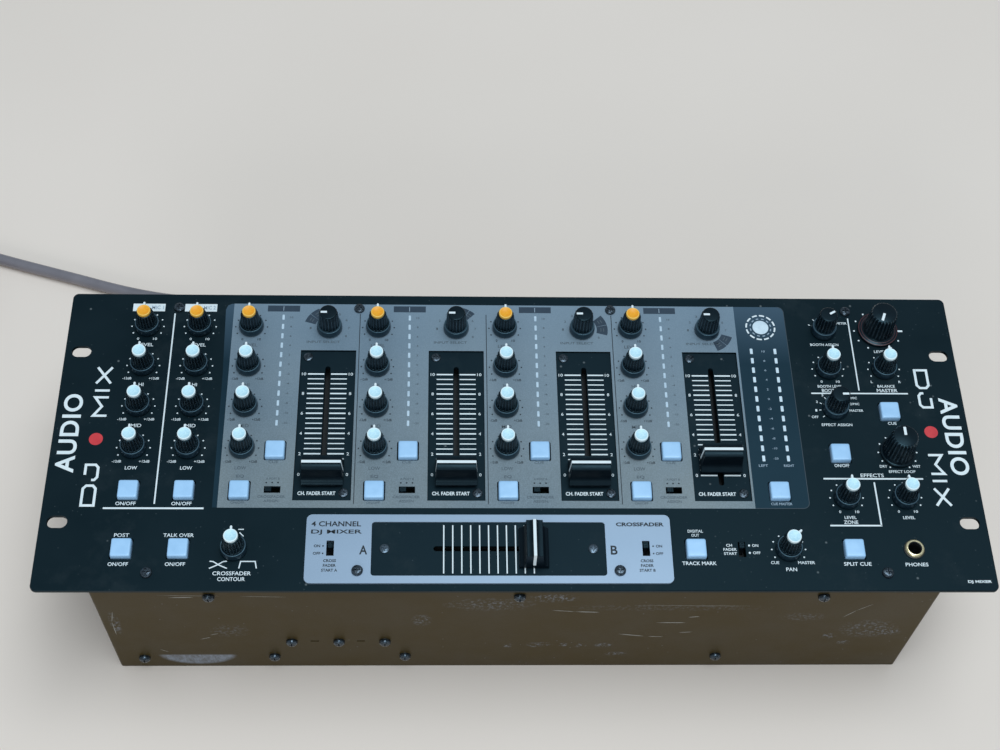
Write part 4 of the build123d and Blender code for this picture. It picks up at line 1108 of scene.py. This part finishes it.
def button_shape(places):
    shape = Shape()
    for x, y in places:
        shape.stack([[(px, py, z) for px, py in square(x, y, BUTTON_HALF - inset, corner, 5)]
                     for inset, z, corner in BUTTON_ROWS])
        shape.prism(square(x, y, 1.5), 100.6, 104.6)
    return shape


def make_buttons():
    channel = [(meter + CHANNEL_ON_OFFSET, CHANNEL_ON_Y) for meter in METERS]
    channel += [(meter + CUE_OFFSET, BUTTON_ROW) for meter in METERS]
    master = [(x, y) for x in MIC_X for y in (BUTTON_ROW, BOTTOM_ROW)]
    master += [(MASTER_CUE_X, BUTTON_ROW), (RIGHT_X[1] - 0.8, 15.2), (RIGHT_X[0], -10.4), (89.7, BOTTOM_ROW),
               (RIGHT_X[0], BOTTOM_ROW)]
    for node, places in (("channel_buttons", channel), ("master_buttons", master)):
        button_shape(places).piece(f"{node}_caps", ["button"], node, "button_white", 35, replaces=[node])


NUB_HEIGHTS = (102.2, 109.9)
RIDGE_HEIGHTS = (109.8, 110.2)
RIDGE_HALF = 0.28


def make_switches():
    """The slide switches' ridged nubs; the assign switches' ridges run front to back, the start switches' across."""
    assign = [(meter - 2.0, -32.3) for meter in METERS]
    start = [(x, BOTTOM_ROW + 2.0) for x in (-94.8, 64.2, 113.1)]
    for name, node, places, (wide, deep), across in (
        ("assign_nubs", "crossfader_assign_switches", assign, (1.6, 1.3), False),
        ("start_nubs", "start_switches", start, (1.3, 1.6), True),
    ):
        shape = Shape()
        for x, y in places:
            shape.prism(box_outline(x - wide, x + wide, y - deep, y + deep), *NUB_HEIGHTS)
            for k in (-1, 0, 1):
                if across:
                    ridge = box_outline(x - wide, x + wide, y + k - RIDGE_HALF, y + k + RIDGE_HALF)
                else:
                    ridge = box_outline(x + k - RIDGE_HALF, x + k + RIDGE_HALF, y - deep, y + deep)
                shape.prism(ridge, *RIDGE_HEIGHTS)
        shape.piece(name, ["knob"], node, "knob_black", 30, 0.1, 1, [node])


make_buttons()
make_switches()


# ------------------------------------------------------------------------------------- sockets
def phono_places():
    places = [(-74.0 + 26.0 * column, z) for column in range(4) for z in (84.0, 68.0, 52.0, 36.0, 20.0)]
    places += [(x, z) for x in (52.0, 78.0, 104.0, 130.0) for z in (84.0, 68.0)]
    return places + [(52.0, 36.0)]


SOCKET_FINISHES = ("socket", "gold", "socket_white", "socket_red", "steel", "brass", "dark")
BLACK, GOLD, WHITE, RED, STEEL, BRASS, SHADED_HOLE = range(7)
JACK_BODY = [
    (3.25, -22.5), (5.0, -22.5), (5.0, -1.0), (4.5, -1.0), (4.5, 0.0), (5.2, 0.0), (5.35, 0.25), (5.35, 0.6),
    (5.0, 0.8), (3.6, 0.8), (3.25, 0.4), (3.25, -22.5),
]
JACK_RING = [
    (3.55, 0.5), (5.0, 0.5), (5.0, 1.2), (4.85, 1.7), (4.5, 2.15), (4.1, 2.36), (3.75, 2.36), (3.55, 2.2), (3.55, 0.5),
]


def add_phono(shape, place, colour):
    """A phono socket: its black foot, gold barrel, coloured insert and gold centre contact."""
    foot = [(0, -10), (4.0, -10), (4.0, -0.1), (5.5, -0.1), (5.6, 0.1), (5.6, 1.1), (5.3, 1.4), (4.3, 1.4), (0, 1.4)]
    barrel = [(3.1, 1.3), (4.15, 1.3), (4.15, 9.4), (3.95, 9.8), (3.6, 9.9), (3.3, 9.7), (3.2, 9.2), (3.1, 1.3)]
    insert = [(1.7, 1.3), (3.2, 1.3), (3.2, 9.0), (3.0, 9.2), (1.9, 9.2), (1.7, 9.0), (1.7, 1.3)]
    shape.turned(foot, 40, BLACK, place)
    shape.turned(barrel, 40, GOLD, place)
    shape.turned(insert, 40, colour, place)
    shape.turned([(1.2, 1.3), (1.7, 1.3), (1.7, 8.7), (1.25, 8.7), (1.2, 1.3)], 24, GOLD, place)


def add_jack(shape, place, metal):
    """A quarter-inch jack socket with a metal ring and a black lining."""
    shape.turned(JACK_BODY, 48, BLACK, place)
    shape.turned([(0, -22.6), (3.3, -22.6), (3.3, -22.0), (0, -22.0)], 32, BLACK, place)
    shape.turned(JACK_RING, 64, metal, place)
    shape.turned([(3.25, 0.4), (3.6, 0.4), (3.6, 1.9), (3.45, 2.05), (3.25, 1.95), (3.25, 0.4)], 48, BLACK, place)


def add_microphone_socket(shape, place):
    """A three-pole socket: steel flange and ring, black insert, gold contacts with painted shade in their holes, latch
    and two screws.
    """
    shape.stack([[(px, py, z) for px, py in rounded(-13 + i, 13 - i, -15.5 + i, 15.5 - i, 2.0, 4)]
                 for i, z in ((0, 0.0), (0, 1.3), (0.3, 1.6))], STEEL, place)
    shape.turned([(0, -18), (10.8, -18), (10.8, 0.5), (0, 0.5)], 48, BLACK, place)
    ring = [(8.4, 1.4), (10.6, 1.4), (10.6, 2.2), (10.2, 2.6), (8.9, 2.6), (8.5, 2.3), (8.4, 1.4)]
    shape.turned(ring, 64, STEEL, place)
    shape.turned([(0, 1.4), (8.3, 1.4), (8.3, 2.7), (8.0, 3.0), (0, 3.0)], 48, BLACK, place)
    contact = [(0.75, 2.5), (1.4, 2.5), (1.4, 3.1), (1.2, 3.2), (0.85, 3.2), (0.75, 3.0), (0.75, 2.5)]
    for x, y in ((-3.8, -1.9), (3.8, -1.9), (0, 3.4)):
        shape.turned(contact, 20, GOLD, place @ at(x, y))
        # Painted shade: a dark disc inside each contact's hole.
        shape.turned([(0, 2.6), (0.78, 2.6), (0.78, 3.06), (0, 3.06)], 16, SHADED_HOLE, place @ at(x, y))
    shape.prism(rounded(-3.2, 3.2, -14.6, -11.4, 0.8, 3), 1.5, 2.8, BLACK, place)
    for x, y in ((-10.2, 12.6), (10.2, -12.6)):
        shape.turned([(0, 1.5), (1.9, 1.5), (1.9, 1.9), (1.5, 2.3), (0, 2.45)], 24, STEEL, place @ at(x, y))


def add_switch_bezel(shape, place):
    loops = []
    for wide, deep, corner, z in (
        (6.8, 9.8, 0.4, -12.0), (6.8, 9.8, 0.4, 0.0), (8.5, 11.5, 1.0, 0.0), (8.5, 11.5, 1.0, 1.5),
        (8.2, 11.2, 1.0, 2.0), (6.0, 9.0, 0.4, 2.0), (5.8, 8.8, 0.4, 1.7), (5.8, 8.8, 0.4, -12.0),
        (6.8, 9.8, 0.4, -12.0),
    ):
        loops.append([(px, py, z) for px, py in rounded(-wide, wide, -deep, deep, corner, 4)])
    shape.stack(loops, BLACK, place, closed=False)


def socket_shape():
    shape = Shape()
    for number, (x, z) in enumerate(phono_places()):
        add_phono(shape, rearward(x, z), RED if number % 2 else WHITE)
    add_jack(shape, at(*PHONES, PANEL_TOP), BRASS)
    add_jack(shape, rearward(178.0, 34.0), STEEL)
    add_microphone_socket(shape, rearward(178.0, 72.0))
    add_switch_bezel(shape, rearward(-168.0, 62.0))
    return shape


socket_shape().piece("socket_set", SOCKET_FINISHES, slot="socket_metal", smooth=35, replaces=["audio_sockets"])


# ------------------------------------------------------------------- finishes on the CAD pieces
for node, paint in (
    ("front_panel", "panel"), ("fader_plates", "plate"), ("crossfader_plate", "surround"), ("case_wrap", "case"),
    ("chassis_tray", "case"), ("internal_electronics", "board"), ("screws", "screw"), ("cord_bush", "rubber"),
    ("mains_plug", "plug"), ("power_switch", "knob"),
):
    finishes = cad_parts[node].data.materials
    finishes.clear()
    finishes.append(PAINT[paint])

SCRATCHES = [  # from (x, z) to (x, z) on the front wall, and width
    ((-176.1, 92.9), (-163.5, 93.2), 0.7), ((-182.0, 95.8), (-150.0, 94.6), 0.25),
    ((-140.0, 94.5), (-117.0, 93.5), 0.25),
    ((-166.8, 38.2), (-161.0, 41.0), 0.4), ((-161.0, 44.0), (-156.3, 46.2), 0.35), ((18.2, 76.6), (30.0, 74.9), 0.5),
    ((30.0, 74.9), (42.7, 74.0), 0.8), ((90.0, 67.3), (95.7, 68.4), 0.7), ((73.9, 60.3), (89.5, 60.2), 0.7),
    ((55.4, 45.0), (69.3, 41.9), 0.7), ((71.6, 41.5), (79.9, 41.1), 0.45), ((87.5, 46.9), (94.5, 47.6), 0.55),
    ((171.3, 67.2), (176.5, 76.0), 0.35), ((176.5, 76.0), (183.5, 84.4), 0.3), ((60.0, 83.0), (120.0, 82.0), 0.2),
    ((-206.8, 75.5), (-209.3, 62.0), 0.3), ((-209.3, 62.0), (-209.9, 44.4), 0.3), ((-190.0, 24.0), (-186.0, 20.5), 0.3),
]


def make_scratches():
    """Thin pale slivers, pointed at both ends, on the front wall."""
    shape = Shape()
    wall = Matrix.Translation((0, FRONT_WALL, 0)) @ Matrix.Rotation(math.radians(90), 4, "X")
    for (x0, z0), (x1, z1), width in SCRATCHES:
        length = math.hypot(x1 - x0, z1 - z0)
        nx, nz = -(z1 - z0) / length * width / 2, (x1 - x0) / length * width / 2
        a, b = (0.7 * x0 + 0.3 * x1, 0.7 * z0 + 0.3 * z1), (0.2 * x0 + 0.8 * x1, 0.2 * z0 + 0.8 * z1)
        outline = [(x0, z0), (a[0] - nx, a[1] - nz), (b[0] - nx, b[1] - nz), (x1, z1), (b[0] + nx, b[1] + nz),
                   (a[0] + nx, a[1] + nz)]
        shape.prism(outline, -PRINT_SINK, 0.03, place=wall)
    shape.piece("front_scratches", ["scratch"], slot="case_paint")


make_scratches()

mains_lead.data.materials.append(PAINT["rubber"])
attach(mains_lead, BODY)
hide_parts("power_cord", "power_cord_coil")


# --------------------------------------------------------------------------------------- stage
FLOOR_Z = -0.0003  # just below the standing surface


def make_floor():
    mesh = bpy.data.meshes.new("floor")
    reach = 15.0
    corners = ((-reach, -reach), (reach, -reach), (reach, reach), (-reach, reach))
    mesh.from_pydata([(x, y, FLOOR_Z) for x, y in corners], [], [(0, 1, 2, 3)])
    mesh.materials.append(PAINT["floor"])
    link(bpy.data.objects.new("floor", mesh))


def area_light(name, place, target, size, power, colour):
    data = bpy.data.lights.new(name, "AREA")
    data.shape = "RECTANGLE"
    data.size, data.size_y = size
    data.energy = power
    data.color = colour
    lamp = link(bpy.data.objects.new(name, data))
    lamp.location = place
    lamp.rotation_euler = (Vector(target) - Vector(place)).to_track_quat("-Z", "Y").to_euler()


make_floor()
area_light("overhead", (0.2, -0.1, 2.3), (0, 0, 0.1), (1.8, 1.0), 33.0, (0.76, 0.9, 1.0))
area_light("front", (-0.5, -1.9, 1.0), (0, 0, 0.05), (0.9, 0.6), 8.0, (0.85, 0.93, 1.0))
world = bpy.data.worlds.new("studio")
world.use_nodes = True
background = world.node_tree.nodes["Background"]
background.inputs["Color"].default_value = (0.72, 0.88, 1.0, 1.0)
background.inputs["Strength"].default_value = 0.42
bpy.context.scene.world = world
bpy.context.scene.view_settings.view_transform = "Standard"


# ---------------------------------------------------------------------------------------- update
bpy.context.view_layer.update()
